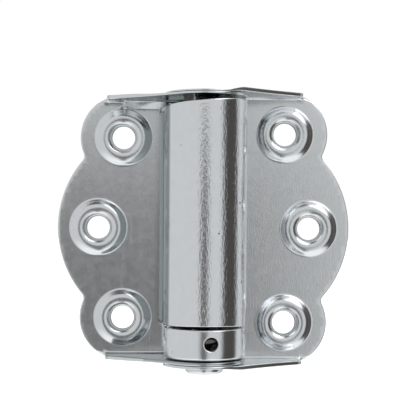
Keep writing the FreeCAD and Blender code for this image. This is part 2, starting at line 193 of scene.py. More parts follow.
def mitres(loop: np.ndarray) -> np.ndarray:
    """Mitred normals of an anticlockwise loop, pointing out of it."""
    ahead = np.roll(loop, -1, axis=0) - loop
    ahead /= np.linalg.norm(ahead, axis=1)[:, None]
    behind = np.roll(ahead, 1, axis=0)
    normal_ahead = np.stack([ahead[:, 1], -ahead[:, 0]], axis=1)
    normal_behind = np.stack([behind[:, 1], -behind[:, 0]], axis=1)
    total = normal_ahead + normal_behind
    total /= np.maximum(np.linalg.norm(total, axis=1), 1e-6)[:, None]
    reach = np.sum(total * normal_ahead, axis=1)
    return total / np.clip(reach, 0.6, 1.0)[:, None]


def inside(points: np.ndarray, loop: np.ndarray) -> np.ndarray:
    """Which points lie inside a closed loop."""
    found = np.zeros(len(points), bool)
    following = np.roll(loop, -1, axis=0)
    for (x0, y0), (x1, y1) in zip(loop, following):
        crosses = (y0 > points[:, 1]) != (y1 > points[:, 1])
        if y1 != y0:
            where = x0 + (points[:, 1] - y0) * (x1 - x0) / (y1 - y0)
            found ^= crosses & (points[:, 0] < where)
    return found


def distance_to(points: np.ndarray, loop: np.ndarray) -> np.ndarray:
    """Distance from each point to the nearest edge of a loop."""
    nearest = np.full(len(points), 1e9)
    following = np.roll(loop, -1, axis=0)
    for start, finish in zip(loop, following):
        run = finish - start
        share = np.clip(((points - start) @ run) / max(float(run @ run), 1e-12), 0.0, 1.0)
        gap = np.linalg.norm(points - (start + share[:, None] * run), axis=1)
        nearest = np.minimum(nearest, gap)
    return nearest


@dataclass
class Blank:
    """A flat blank with holes that is meshed in two dimensions and then bent into a shell."""

    outline: np.ndarray
    outline_rim: Sequence[RimStep]
    holes: list[tuple[np.ndarray, Sequence[RimStep]]] = field(default_factory=list)
    fill: list[Point] = field(default_factory=list)
    clearance: float = 0.22
    hole_clearance: float = 0.02

    def loops(self) -> list[tuple[np.ndarray, np.ndarray, Sequence[RimStep]]]:
        """Every edge loop with the normals that point out of the material and its rim."""
        outer = self.outline if turn_of(self.outline) > 0 else self.outline[::-1]
        found = [(outer, mitres(outer), self.outline_rim)]
        for hole, rim in self.holes:
            loop = hole if turn_of(hole) > 0 else hole[::-1]
            found.append((loop, -mitres(loop), rim))
        return found

    def shell(self, name: str, place: Place) -> bpy.types.Object:
        """Mesh the blank and bend it.

        Args:
            name: Name of the new object.
            place: Gives the place in space of flat points at a share of the thickness.

        Returns:
            The closed shell, in metres.
        """
        loops = self.loops()
        bounds = [loop + normal * rim[0].out for loop, normal, rim in loops]
        fill = np.array(self.fill)
        keep = inside(fill, bounds[0]) & (distance_to(fill, bounds[0]) > self.clearance)
        for hole in bounds[1:]:
            keep &= ~inside(fill, hole) & (distance_to(fill, hole) > self.hole_clearance)
        fill = fill[keep]
        points, edges, starts = [], [], []
        for bound in bounds:
            first = sum(len(p) for p in points)
            starts.append(first)
            count = len(bound)
            points.append(bound)
            edges += [(first + i, first + (i + 1) % count) for i in range(count)]
        flat = np.concatenate(points + [fill])
        found, _, faces, origins, _, _ = delaunay_2d_cdt([Vector(p) for p in flat], edges, [], 0, 1e-7)
        flat_out = np.array([tuple(p) for p in found])
        index_of = {old: new for new, olds in enumerate(origins) for old in olds}
        triangles = np.array(faces)
        centres = flat_out[triangles].mean(axis=1)
        wanted = inside(centres, bounds[0])
        for hole in bounds[1:]:
            wanted &= ~inside(centres, hole)
        triangles = triangles[wanted]

        count = len(flat_out)
        across, up = flat_out[:, 0], flat_out[:, 1]
        vertices = [place(across, up, np.zeros(count)), place(across, up, np.ones(count))]
        total = 2 * count
        quads: list[tuple[int, ...]] = [tuple(t) for t in triangles]
        quads += [tuple(t[::-1] + count) for t in triangles]
        for (loop, normal, rim), first in zip(loops, starts):
            size = len(loop)
            ring = [index_of[first + i] for i in range(size)]
            last = [i + count for i in ring]
            rings = [ring]
            for step in rim[1:-1]:
                moved = loop + normal * step.out
                vertices.append(place(moved[:, 0], moved[:, 1], np.full(size, step.depth)))
                rings.append(list(range(total, total + size)))
                total += size
            rings.append(last)
            for upper, lower in zip(rings, rings[1:]):
                for i in range(size):
                    j = (i + 1) % size
                    quads.append((upper[i], upper[j], lower[j], lower[i]))
        return finished_mesh(name, np.concatenate(vertices), quads)


def finished_mesh(name: str, vertices: np.ndarray, faces: Sequence[Sequence[int]]) -> bpy.types.Object:
    """A smooth, closed mesh object in metres whose faces point outwards.

    Args:
        name: Name of the new object.
        vertices: Points in millimetres.
        faces: Corners of each face.

    Returns:
        The object, linked to the scene.
    """
    mesh = bpy.data.meshes.new(name)
    mesh.from_pydata([tuple(p) for p in vertices * MM], [], [tuple(int(i) for i in f) for f in faces])
    work = bmesh.new()
    work.from_mesh(mesh)
    bmesh.ops.remove_doubles(work, verts=work.verts, dist=1e-7)
    loose = [v for v in work.verts if not v.link_faces]
    bmesh.ops.delete(work, geom=loose, context="VERTS")
    bmesh.ops.recalc_face_normals(work, faces=work.faces)
    if work.calc_volume(signed=True) < 0:
        bmesh.ops.reverse_faces(work, faces=work.faces)
    for face in work.faces:
        face.smooth = True
    work.to_mesh(mesh)
    work.free()
    made = bpy.data.objects.new(name, mesh)
    bpy.context.scene.collection.objects.link(made)
    return made


@dataclass
class PressedLeaf:
    """A leaf pressed from sheet: scalloped plate, three raised bosses and two ears folded forward."""

    side: Side
    ear_inside: float
    inner_edge: float
    thick: float = 0.95
    plate_front: float = 9.8
    leaf_reach: float = 34.925
    lobe_radius: float = 10.3
    lobe_overrun: float = 1.7
    middle_lobe_radius: float = 25.0
    notch_fillet: float = 1.5
    end_hole_offset: float = 19.35
    middle_hole_offset: float = 25.25
    hole_radius: float = 2.725
    boss_radius: float = 6.7
    shoulder_radius: float = 5.35
    crest_radius: float = 4.8
    boss_height: float = 1.2
    hole_land: float = 0.35
    ear_radius: float = 9.5
    ear_nose: float = 4.6
    ear_sweep_radius: float = 90.0
    nose_rounding: float = 0.5
    fold_radius: float = 0.45
    pin_hole_radius: float = 3.0
    ear_dish: float = 0.0
    ear_coining: float = 0.0
    dish_start: float = 4.0
    dish_end: float = 9.0
    dish_back: float = 5.5
    dish_stop: float = 0.9
    bottom_dish: float = 0.5
    shoulder_blend: float = 0.6
    crest_blend: float = 0.05
    foot_blend: float = 0.16
    back_blend: float = 0.3
    boss_margin: float = 1.0
    boss_columns: int = 84
    boss_clear: float = 1.1
    fold_clear: float = 0.3
    fold_spacing: float = 0.7
    blank_start: float = -12.0
    blank_half: float = 52.0
    grid: float = 1.0

    @property
    def fold_line(self) -> float:
        """Height at which the plate starts to turn into an ear."""
        return self.ear_inside - self.fold_radius

    @property
    def fold_length(self) -> float:
        """Length of the fold on the inside of its bend."""
        return self.fold_radius * math.pi / 2.0

    @property
    def fold_edge(self) -> float:
        """Distance from the pin to the inner end of a fold."""
        return self.inner_edge

    @property
    def hole_height(self) -> float:
        """Height of the end holes."""
        return self.ear_inside - self.lobe_radius + self.lobe_overrun

    @property
    def screw_holes(self) -> list[Point]:
        """Places of the three screw holes on the flat plate."""
        end, height = self.end_hole_offset, self.hole_height
        return [(end, height), (self.middle_hole_offset, 0.0), (end, -height)]

    def fold_rows(self, line: float) -> list[float]:
        """Heights of the rows of points across a fold that starts at a line."""
        return [line + self.fold_length * i / 6.0 for i in range(7)]

    def ear_height(self, forward: float) -> float:
        """Height on the flat blank of a point of the top ear, from its place along Y."""
        return self.fold_line + self.fold_length + (self.plate_front - self.fold_radius - forward)

    def lobe_outline(self) -> list[Point]:
        """The scalloped edge from the middle of the leaf's outer side up to the top fold."""
        broad = self.middle_lobe_radius
        broad_centre = (self.leaf_reach - broad, 0.0)
        lobe = self.lobe_radius
        lobe_centre = (self.end_hole_offset, self.hole_height)
        fillet = self.notch_fillet
        centre = circles_meet(broad_centre, broad + fillet, lobe_centre, lobe + fillet)
        toward_broad = math.atan2(centre[1], centre[0] - broad_centre[0])
        toward_lobe = math.atan2(centre[1] - lobe_centre[1], centre[0] - lobe_centre[0])
        points = arc_points(broad_centre, broad, 0.0, toward_broad, EDGE_STEP)
        start, finish = toward_broad + math.pi, toward_lobe + math.pi
        if finish > start:
            finish -= 2.0 * math.pi
        points += arc_points(centre, fillet, start, finish, FILLET_STEP)
        top = math.asin((self.fold_line - lobe_centre[1]) / lobe)
        points += arc_points(lobe_centre, lobe, toward_lobe, top, SHORT_STEP)
        outside = self.fold_radius + self.thick
        for row in self.fold_rows(self.fold_line)[1:]:
            turn = (row - self.fold_line) / self.fold_radius
            height = self.fold_line + outside * math.sin(turn) - lobe_centre[1]
            points.append((lobe_centre[0] + math.sqrt(lobe**2 - height**2), row))
        return points

    def ear_outline(self, finish: Point) -> list[Point]:
        """The edge of the top ear from the fold out to its nose, along the hollow front and round the pin.

        Args:
            finish: Where the round end stops, seen along the pin.

        Returns:
            Points on the flat blank.
        """
        ear_end = self.lobe_outline()[-1][0]
        nose = self.plate_front - self.ear_nose
        sweep, round_end = self.ear_sweep_radius, self.ear_radius
        reach = math.hypot(ear_end, nose)
        centre_reach = sweep + round_end
        along = (centre_reach**2 - sweep**2 + reach**2) / (2.0 * reach)
        across = math.sqrt(centre_reach**2 - along**2)
        centre = ((along * ear_end + across * nose) / reach, (along * nose - across * ear_end) / reach)
        touch = (centre[0] * round_end / centre_reach, centre[1] * round_end / centre_reach)
        rounding = self.nose_rounding
        top = self.plate_front - self.fold_radius
        seen = line_points((ear_end, top), (ear_end, nose + rounding), SHORT_STEP)
        corner = (ear_end - rounding, nose + rounding)
        seen += arc_points(corner, rounding, 0.0, -math.pi / 2.0, ROUNDING_STEP)
        first = math.atan2(nose - centre[1], ear_end - rounding - centre[0])
        last = math.atan2(touch[1] - centre[1], touch[0] - centre[0])
        seen += arc_points(centre, sweep, first, last, EDGE_STEP)
        start = math.atan2(touch[1], touch[0])
        stop = math.atan2(finish[1], finish[0]) - 2.0 * math.pi
        seen += arc_points((0.0, 0.0), round_end, start, stop, ROUND_END_STEP)
        return [(across, self.ear_height(forward)) for across, forward in seen]

    def full_ear(self) -> list[Point]:
        """The edge of an ear that stays joined to the plate along its whole fold, down to the inner edge."""
        back = self.plate_front - self.fold_radius
        points = self.ear_outline((math.sqrt(self.ear_radius**2 - back**2), back))
        points += line_points(points[-1], (self.fold_edge, self.ear_height(back)), EDGE_STEP)
        return points

    def upper_edge(self) -> list[Point]:
        """The blank's edge from the middle of the outer side over the top to the inner edge."""
        points = self.lobe_outline() + self.full_ear()
        stops = self.fold_rows(self.fold_line)
        return points + line_points(points[-1], (self.inner_edge, 0.0), self.grid, stops)

    def lower_edge(self) -> list[Point]:
        """The blank's edge from the inner edge over the bottom to the middle of the outer side."""
        return [(across, -up) for across, up in reversed(self.upper_edge())]

    def hole_loops(self) -> list[tuple[np.ndarray, Sequence[RimStep]]]:
        """The screw holes and the two pin holes on the flat blank."""
        loops: list[tuple[np.ndarray, Sequence[RimStep]]] = []
        for centre in self.screw_holes:
            circle = arc_points(centre, self.hole_radius, 0.0, 2.0 * math.pi, HOLE_STEP)
            loops.append((tidy_loop(circle), HOLE_RIM))
        for level in (self.ear_height(0.0), -self.ear_height(0.0)):
            circle = arc_points((0.0, level), self.pin_hole_radius, 0.0, 2.0 * math.pi, BORE_STEP)
            loops.append((tidy_loop(circle), BORE_RIM))
        return loops

    def boss_radii(self) -> list[float]:
        """Radii of the rings of points on a boss."""
        steep = [self.hole_radius + d for d in (0.015, 0.05, 0.11, 0.2, 0.32, 0.48, 0.66, 0.86)]
        return steep + list(np.arange(self.hole_radius + 1.08, self.boss_radius + 0.9, 0.22))

    def fill_points(self) -> list[Point]:
        """Points inside the blank: boss rings, fold rows and an even grid elsewhere."""
        points: list[Point] = []
        for centre in self.screw_holes:
            for radius in self.boss_radii():
                for i in range(self.boss_columns):
                    angle = 2.0 * math.pi * i / self.boss_columns
                    aside, rise = radius * math.cos(angle), radius * math.sin(angle)
                    points.append((centre[0] + aside, centre[1] + rise))
        rows = self.fold_rows(self.fold_line)
        across = np.arange(self.blank_start, self.leaf_reach, self.fold_spacing)
        for row in rows:
            points += [(float(a), row) for a in across] + [(float(a), -row) for a in across]
        clear = self.boss_radius + self.boss_clear
        for a in np.arange(self.blank_start, self.leaf_reach, self.grid):
            for v in np.arange(-self.blank_half, self.blank_half, self.grid):
                near_boss = any(math.dist((a, v), centre) < clear for centre in self.screw_holes)
                near_fold = any(abs(abs(v) - row) < self.fold_clear for row in rows)
                if not near_boss and not near_fold and self.on_grid(float(a), float(v)):
                    points.append((float(a), float(v)))
        return points

    def on_grid(self, across: float, up: float) -> bool:
        """Whether the even grid reaches a flat point."""
        return abs(up) > self.fold_line or across > self.inner_edge

    def boss_rise(self, radius: np.ndarray, share: np.ndarray) -> np.ndarray:
        """Height of a boss above the plate.

        Args:
            radius: Distance from the screw hole's centre.
            share: 0 on the front face and 1 on the back.

        Returns:
            Height of each point.
        """
        slope = self.boss_height / (self.boss_radius - self.shoulder_radius)
        level = np.full_like(radius, self.boss_height)
        wall = soft_least(slope * (self.boss_radius - radius), level, self.shoulder_blend)
        depth = self.thick + self.boss_height - self.hole_land
        width = self.crest_radius - self.hole_radius
        funnel_radius = (depth**2 + width**2) / (2.0 * width)
        offset = np.minimum(radius - (self.hole_radius + funnel_radius), 0.0)
        funnel = self.hole_land - self.thick + np.sqrt(np.maximum(funnel_radius**2 - offset**2, 0.0))
        inner = self.boss_height * (radius - self.hole_radius) / width
        foot = radius > self.shoulder_radius
        crest = soft_least(wall, funnel, self.crest_blend)
        front = np.where(foot, soft_most(crest, 0.0, self.foot_blend), crest)
        crest_behind = soft_least(wall, inner, self.back_blend)
        behind = np.where(foot, soft_most(crest_behind, 0.0, self.foot_blend), crest_behind)
        rise = front * (1.0 - share) + behind * share
        return np.where(radius > self.boss_radius + self.boss_margin, 0.0, rise)

    def place(self, across: np.ndarray, up: np.ndarray, share: np.ndarray) -> np.ndarray:
        """Bend flat points into the plate and its ears.

        Args:
            across: Distance from the pin on the flat blank.
            up: Height on the flat blank.
            share: 0 on the front face and 1 on the back.

        Returns:
            Points in space.
        """
        depth, height = self.folded(np.abs(up), share, self.fold_line)
        height = height - self.dish(across, up, depth) * (self.ear_dish + self.ear_coining * share)
        for centre in self.screw_holes:
            radius = np.hypot(across - centre[0], up - centre[1])
            depth = depth - self.boss_rise(radius, share)
        return np.stack([self.side.value * across, depth, np.sign(up) * height], axis=1)

    def dish(self, across: np.ndarray, up: np.ndarray, depth: np.ndarray) -> np.ndarray:
        """How far riveting has drawn the ears in round the pin, from 0 to 1.

        Args:
            across: Distance from the pin on the flat blank.
            up: Height on the flat blank.
            depth: Place along Y once folded.

        Returns:
            A share for each point, 0 off the ears.
        """
        near_pin = 1.0 - ramp(across, self.dish_start, self.dish_end)
        off_fold = 1.0 - ramp(depth, self.dish_back, self.plate_front - self.dish_stop)
        share = near_pin * off_fold * np.where(up > 0.0, 1.0, self.bottom_dish)
        return np.where(np.abs(up) > self.fold_line, share, 0.0)

    def folded(
        self, up: np.ndarray, share: np.ndarray, line: float, angle: float = math.pi / 2.0
    ) -> tuple[np.ndarray, np.ndarray]:
        """Turn a strip forward at a fold line.

        Args:
            up: Height on the flat blank.
            share: 0 on the front face and 1 on the back.
            line: Height at which the fold starts.
            angle: How far the strip is turned.

        Returns:
            Depth along Y and height along Z.
        """
        turn = np.clip((up - line) / self.fold_radius, 0.0, angle)
        flat = np.maximum(up - line - self.fold_radius * angle, 0.0)
        bend = self.fold_radius + share * self.thick
        depth = self.plate_front - self.fold_radius + bend * np.cos(turn) - flat * math.sin(angle)
        height = np.minimum(up, line) + bend * np.sin(turn) + flat * math.cos(angle)
        return depth, height

    def build(self, name: str) -> bpy.types.Object:
        """Mesh the whole leaf."""
        outline = tidy_loop(self.upper_edge()[:-1] + self.lower_edge())
        blank = Blank(outline, SHEARED_RIM, self.hole_loops(), self.fill_points())
        return blank.shell(name, self.place)


def ramp(values: np.ndarray, start: float, finish: float) -> np.ndarray:
    """A smooth step from 0 at one value to 1 at another."""
    share = np.clip((values - start) / (finish - start), 0.0, 1.0)
    return share * share * (3.0 - 2.0 * share)


def soft_least(first: np.ndarray, second: np.ndarray, blend: float) -> np.ndarray:
    """The lesser of two heights, rounded where they cross."""
    near = np.maximum(blend - np.abs(first - second), 0.0) / blend
    return np.minimum(first, second) - near**2 * blend / 4.0


def soft_most(first: np.ndarray, level: float, blend: float) -> np.ndarray:
    """The greater of a height and a level, rounded where they cross."""
    near = np.maximum(blend - np.abs(first - level), 0.0) / blend
    return np.maximum(first, level) + near**2 * blend / 4.0


@dataclass
class BarrelLeaf(PressedLeaf):
    """The left leaf, whose sheet also makes the lip under the top ear and the barrel round the spring."""

    bend_radius: float = 0.75
    barrel_radius: float = 9.6
    barrel_wrap: float = math.radians(240.0)
    barrel_top: float = 28.0
    barrel_bottom: float = -22.5
    rim_rise: float = 0.4
    top_rise: float = 1.6
    side_rise: float = 0.65
    bend_relief: float = 0.05
    tuck_edge: float = 9.2
    edges_meet: float = 24.0
    lip_depth: float = 3.0
    lip_bottom: float = 28.75
    lip_turn: float = math.radians(60.0)
    lip_nose: float = 5.0
    nose_length: float = 6.0
    nose_drop: float = 0.4
    lance_gap: float = 0.04
    lance_low: float = 28.6
    lip_relief: float = 0.04
    relief_low: float = 27.9
    leg_notch_low: float = 26.58
    leg_notch_front: float = 5.68
    leg_notch_back: float = 8.0
    column_gap: float = 0.1
    round_margin: float = 0.1
    round_fade: float = 3.0
    grid_margin: float = 0.2
    past_lip: float = 0.5

    @property
    def fold_edge(self) -> float:
        """Distance from the pin to the inner end of the bottom fold, behind the collar."""
        return self.tuck_edge

    @property
    def lip_line(self) -> float:
        """Height at which the plate starts to turn into the lip."""
        return self.lip_bottom - self.fold_radius

    @property
    def lip_end(self) -> float:
        """Height of the lip's free edge on the flat blank."""
        return self.lip_line + self.fold_length + self.lip_depth - self.fold_radius

    @property
    def lip_start(self) -> float:
        """Distance from the pin to the lip's inner end."""
        return self.inner_edge + self.lip_relief

    @property
    def bend_length(self) -> float:
        """Length of the bend from plate to barrel, on the outside of the barrel."""
        return self.bend_radius * math.pi / 2.0

    @property
    def side_length(self) -> float:
        """Length of the barrel's straight side between the bend and the round."""
        return self.plate_front - self.bend_radius

    def barrel_columns(self) -> list[float]:
        """Places across the flat blank of the columns of points on the barrel."""
        bend = list(np.linspace(0.0, self.bend_length, 8))
        straight = list(self.bend_length + np.linspace(0.0, self.side_length, 10))
        run = self.barrel_wrap * self.barrel_radius
        around = list(straight[-1] + np.linspace(0.0, run, 97))
        return [self.inner_edge - s for s in bend + straight[1:] + around[1:]]

    def wrapped(self, across: np.ndarray, share: np.ndarray) -> tuple[np.ndarray, np.ndarray]:
        """Turn a strip forward from the plate and round the pin.

        Args:
            across: Distance from the pin on the flat blank.
            share: 0 on the outside of the barrel and 1 on the inside.

        Returns:
            Distance from the pin along X, on the leaf's side, and depth along Y.
        """
        run = self.inner_edge - across
        turn = np.clip(run / self.bend_radius, 0.0, math.pi / 2.0)
        straight = np.clip(run - self.bend_length, 0.0, self.side_length)
        around = np.maximum(run - self.bend_length - self.side_length, 0.0) / self.barrel_radius
        bend = self.bend_radius + share * self.thick
        reach = self.inner_edge - bend * np.sin(turn)
        depth = self.plate_front - self.bend_radius + bend * np.cos(turn) - straight
        wall = self.barrel_radius - share * self.thick
        on_round = around > 0.0
        reach = np.where(on_round, wall * np.cos(around), reach)
        depth = np.where(on_round, -wall * np.sin(around), depth)
        return reach, depth

    def lower_rim(self, across: float) -> float:
        """Height of the barrel's lower rim, which slopes up towards the front."""
        _, depth = self.wrapped(np.array([across]), np.zeros(1))
        return self.barrel_bottom + self.rim_rise * max(0.0, -float(depth[0])) / self.barrel_radius

    def upper_rim(self, across: float) -> float:
        """Height of the barrel's upper rim, lowest on the leaf's own side of the barrel."""
        reach, depth = self.wrapped(np.array([across]), np.zeros(1))
        if across > self.inner_edge - self.bend_length - self.side_length:
            return self.barrel_top + self.side_rise * float(depth[0]) / self.plate_front
        return self.barrel_top + self.top_rise * (1.0 - float(reach[0]) / self.barrel_radius) / 2.0

    def upper_edge(self) -> list[Point]:
        """The edge over the lanced top ear, round the lip and along the barrel to the edge below it."""
        lance = self.plate_front - self.lip_depth - self.lance_gap
        neck = self.end_hole_offset
        round_end = (math.sqrt(self.ear_radius**2 - lance**2), lance)
        points = self.lobe_outline() + self.ear_outline(round_end)
        points += line_points(points[-1], (neck, self.ear_height(lance)), EDGE_STEP)
        points += line_points(points[-1], (neck, self.lance_low), SHORT_STEP, self.fold_rows(self.fold_line))
        slot = neck - self.lance_gap
        points += [(slot, self.lance_low)]
        lip_rows = self.fold_rows(self.lip_line)
        points += line_points(points[-1], (slot, self.lip_end), SHORT_STEP, lip_rows)
        points += line_points(points[-1], (self.lip_start, self.lip_end), EDGE_STEP)
        points += line_points(points[-1], (self.lip_start, self.relief_low), SHORT_STEP, lip_rows)
        bend_top = (self.inner_edge, self.upper_rim(self.inner_edge))
        points += line_points((self.inner_edge, self.relief_low), bend_top, SHORT_STEP)
        columns = self.barrel_columns()
        side = self.inner_edge - self.bend_length - self.side_length
        back, front = side + self.leg_notch_back, side + self.leg_notch_front
        points += [(a, self.upper_rim(a)) for a in columns[1:] if a > back + self.column_gap]
        points += line_points((back, self.upper_rim(back)), (back, self.leg_notch_low), SHORT_STEP)
        points += line_points(points[-1], (front, self.leg_notch_low), SHORT_STEP)
        points += line_points(points[-1], (front, self.upper_rim(front)), SHORT_STEP)
        points += [(a, self.upper_rim(a)) for a in columns if a < front - self.column_gap]
        end = columns[-1]
        points += line_points((end, self.upper_rim(end)), (end, self.barrel_bottom), 1.0)
        points += [(a, self.lower_rim(a)) for a in reversed(columns)]
        slit = self.barrel_bottom - self.bend_relief
        tuck = line_points((self.tuck_edge, slit), (self.tuck_edge, -self.edges_meet), SHORT_STEP)
        return points + [(self.inner_edge, slit)] + tuck

    def lower_edge(self) -> list[Point]:
        """The edge from below the barrel over the bottom ear to the middle of the outer side."""
        points = self.lobe_outline() + self.full_ear()
        stops = self.fold_rows(self.fold_line)
        points += line_points(points[-1], (self.tuck_edge, self.edges_meet), 0.8, stops)
        return [(across, -up) for across, up in reversed(points)]

    def on_barrel(self, across: np.ndarray, up: np.ndarray) -> np.ndarray:
        """Which flat points belong to the barrel."""
        slit = self.barrel_bottom - self.bend_relief / 2.0
        top = self.barrel_top + self.top_rise + self.round_margin
        return (across < self.inner_edge) & (up < top) & (up > slit)

    def on_lip(self, across: np.ndarray, up: np.ndarray) -> np.ndarray:
        """Which flat points belong to the lip."""
        past_slot = across < self.end_hole_offset - self.lance_gap / 2.0
        below_end = up < self.lip_end + self.past_lip
        return past_slot & (across > self.inner_edge) & (up > self.lip_line) & below_end

    def dish(self, across: np.ndarray, up: np.ndarray, depth: np.ndarray) -> np.ndarray:
        """How far riveting has pressed the ears thin, evenly round the pin and less beyond."""
        radius = np.hypot(across, depth)
        round_end = 1.0 - ramp(radius, self.ear_radius + self.round_margin, self.ear_radius + self.round_fade)
        beyond = 1.0 - ramp(radius, self.dish_start, self.dish_end)
        off_fold = 1.0 - ramp(depth, self.dish_back, self.plate_front - self.dish_stop)
        share = np.maximum(round_end, beyond * off_fold) * np.where(up > 0.0, 1.0, self.bottom_dish)
        return np.where(np.abs(up) > self.fold_line, share, 0.0)

    def fill_points(self) -> list[Point]:
        """Points inside the blank, with columns on the barrel and rows across the lip's fold."""
        plain = np.array(super().fill_points())
        across, up = plain[:, 0], plain[:, 1]
        near_lip = (up > self.lip_line - self.fold_clear) & (up < self.lip_end + self.past_lip)
        lip_zone = (across < self.end_hole_offset) & near_lip
        kept = plain[~self.on_barrel(across, up) & ~lip_zone]
        points = [tuple(p) for p in kept]
        lip_rows = self.fold_rows(self.lip_line)
        lip_rows += list(np.arange(self.lip_line + 1.2, self.lip_end, EDGE_STEP))
        for row in lip_rows:
            points += [(float(a), row) for a in np.arange(self.lip_start, self.end_hole_offset, EDGE_STEP)]
        for a in self.barrel_columns()[1:]:
            points += [(a, float(v)) for v in np.arange(self.barrel_bottom + 0.8, self.upper_rim(a), 1.1)]
        return points

    def on_grid(self, across: float, up: float) -> bool:
        """Whether the even grid reaches a flat point."""
        edge = self.tuck_edge if up < self.barrel_bottom else self.inner_edge
        return abs(up) > self.fold_line or across > edge - self.grid_margin

    def place(self, across: np.ndarray, up: np.ndarray, share: np.ndarray) -> np.ndarray:
        """Bend flat points into the plate, its ears, the lip and the barrel."""
        spots = super().place(across, up, share)
        on_lip = self.on_lip(across, up)
        depth, height = self.folded(up, share, self.lip_line, self.lip_turn)
        nose_reach = self.lip_start - self.lip_nose
        near_nose = 1.0 - ramp(across, self.lip_start, self.lip_start + self.nose_length)
        nose = nose_reach * near_nose * ramp(up, self.lip_line, self.lip_line + self.fold_length)
        spots[on_lip, 0] = self.side.value * (across - nose)[on_lip]
        spots[on_lip, 1] = depth[on_lip]
        spots[on_lip, 2] = (height - self.nose_drop * nose / nose_reach)[on_lip]
        on_barrel = self.on_barrel(across, up)
        reach, depth = self.wrapped(across, share)
        spots[on_barrel, 0] = self.side.value * reach[on_barrel]
        spots[on_barrel, 1] = depth[on_barrel]
        spots[on_barrel, 2] = up[on_barrel]
        return spots


@dataclass
class TensionCollar:
    """The cup under the barrel, with four radial holes for the winding rod."""

    radius: float = 9.45
    wall: float = 1.0
    floor: float = 1.2
    bottom: float = -29.95
    height: float = 7.1
    edge: float = 1.0
    bore: float = 3.05
    rod_hole_radius: float = 1.6
    rod_hole_height: float = 3.9
    rod_hole_angle: float = math.radians(8.0)
    rod_hole_rings: tuple[float, ...] = (1.95, 2.25)
    rod_hole_clear: float = 2.5
    inner_corner: float = 0.25
    columns: int = 168

    @property
    def flat_run(self) -> float:
        """Length of the flat underside from the bore to the rounded edge."""
        return self.radius - self.edge - self.bore

    @property
    def wall_start(self) -> float:
        """Length of the profile up to the foot of the straight wall."""
        return self.flat_run + self.edge * math.pi / 2.0

    @property
    def profile_length(self) -> float:
        """Length of the outside profile from the bore to the upper rim."""
        return self.wall_start + self.height - self.edge

    def outside(self, run: np.ndarray) -> tuple[np.ndarray, np.ndarray]:
        """Radius and height of the outside profile at a length along it."""
        turn = np.clip((run - self.flat_run) / self.edge, 0.0, math.pi / 2.0)
        up = np.maximum(run - self.wall_start, 0.0)
        radius = self.bore + np.minimum(run, self.flat_run) + self.edge * np.sin(turn)
        return radius, self.bottom + self.edge * (1.0 - np.cos(turn)) + up

    def within(self, run: np.ndarray) -> tuple[np.ndarray, np.ndarray]:
        """Radius and height of the inside profile that faces a length of the outside."""
        corner = self.radius - self.wall
        share = np.clip((run - self.flat_run) / (self.wall_start - self.flat_run), 0.0, 1.0)
        flat = np.minimum(run, self.flat_run) / self.flat_run
        turn = share * math.pi / 2.0
        radius = self.bore + flat * (corner - self.inner_corner - self.bore)
        radius = radius + self.inner_corner * np.sin(turn)
        lift = self.inner_corner * (1.0 - np.cos(turn))
        low = self.bottom + self.floor
        rest = (self.height - self.floor - self.inner_corner) / (self.height - self.edge)
        return radius, low + lift + np.maximum(run - self.wall_start, 0.0) * rest

    def place(self, across: np.ndarray, up: np.ndarray, share: np.ndarray) -> np.ndarray:
        """Bend points of a flat ring into the cup; the ring's radius runs along the profile."""
        run = np.hypot(across, up) - self.bore
        angle = np.arctan2(up, across)
        outer_radius, outer_height = self.outside(run)
        inner_radius, inner_height = self.within(run)
        radius = outer_radius + (inner_radius - outer_radius) * share
        height = outer_height + (inner_height - outer_height) * share
        return np.stack([radius * np.cos(angle), radius * np.sin(angle), height], axis=1)

    def rod_hole(self, quarter: int, radius: float) -> list[Point]:
        """A ring round one rod hole, on the flat ring."""
        middle = self.wall_start + self.rod_hole_height - self.edge + self.bore
        facing = -math.pi / 2.0 + self.rod_hole_angle + quarter * math.pi / 2.0
        points = []
        for x, z in arc_points((0.0, 0.0), radius, 0.0, 2.0 * math.pi, ROD_HOLE_STEP):
            angle = facing + math.asin(x / self.radius)
            points.append(((middle + z) * math.cos(angle), (middle + z) * math.sin(angle)))
        return points

    def build(self, name: str) -> bpy.types.Object:
        """Mesh the collar."""
        turn = 2.0 * math.pi
        spacing = turn * self.bore / self.columns
        rim = tidy_loop(arc_points((0.0, 0.0), self.bore + self.profile_length, 0.0, turn, EDGE_STEP))
        holes = [(tidy_loop(arc_points((0.0, 0.0), self.bore, 0.0, turn, spacing * 2.0)), BORE_RIM)]
        fill: list[Point] = []
        for quarter in range(4):
            holes.append((tidy_loop(self.rod_hole(quarter, self.rod_hole_radius)), BORE_RIM))
            for radius in self.rod_hole_rings:
                fill += self.rod_hole(quarter, radius)
        runs = list(np.arange(EDGE_STEP, self.flat_run, EDGE_STEP))
        runs += list(np.linspace(self.flat_run, self.wall_start, 9))
        runs += list(np.arange(self.wall_start + SHORT_STEP, self.profile_length, SHORT_STEP))
        hole_run = self.wall_start + self.rod_hole_height - self.edge
        for run in runs:
            for i in range(self.columns):
                angle = turn * i / self.columns
                past_hole = angle + math.pi / 2.0 - self.rod_hole_angle
                apart = math.remainder(past_hole, math.pi / 2.0) * self.radius
                if math.hypot(apart, run - hole_run) > self.rod_hole_clear:
                    reach = self.bore + run
                    fill.append((reach * math.cos(angle), reach * math.sin(angle)))
        blank = Blank(rim, SHEARED_RIM, holes, fill)
        return blank.shell(name, self.place)


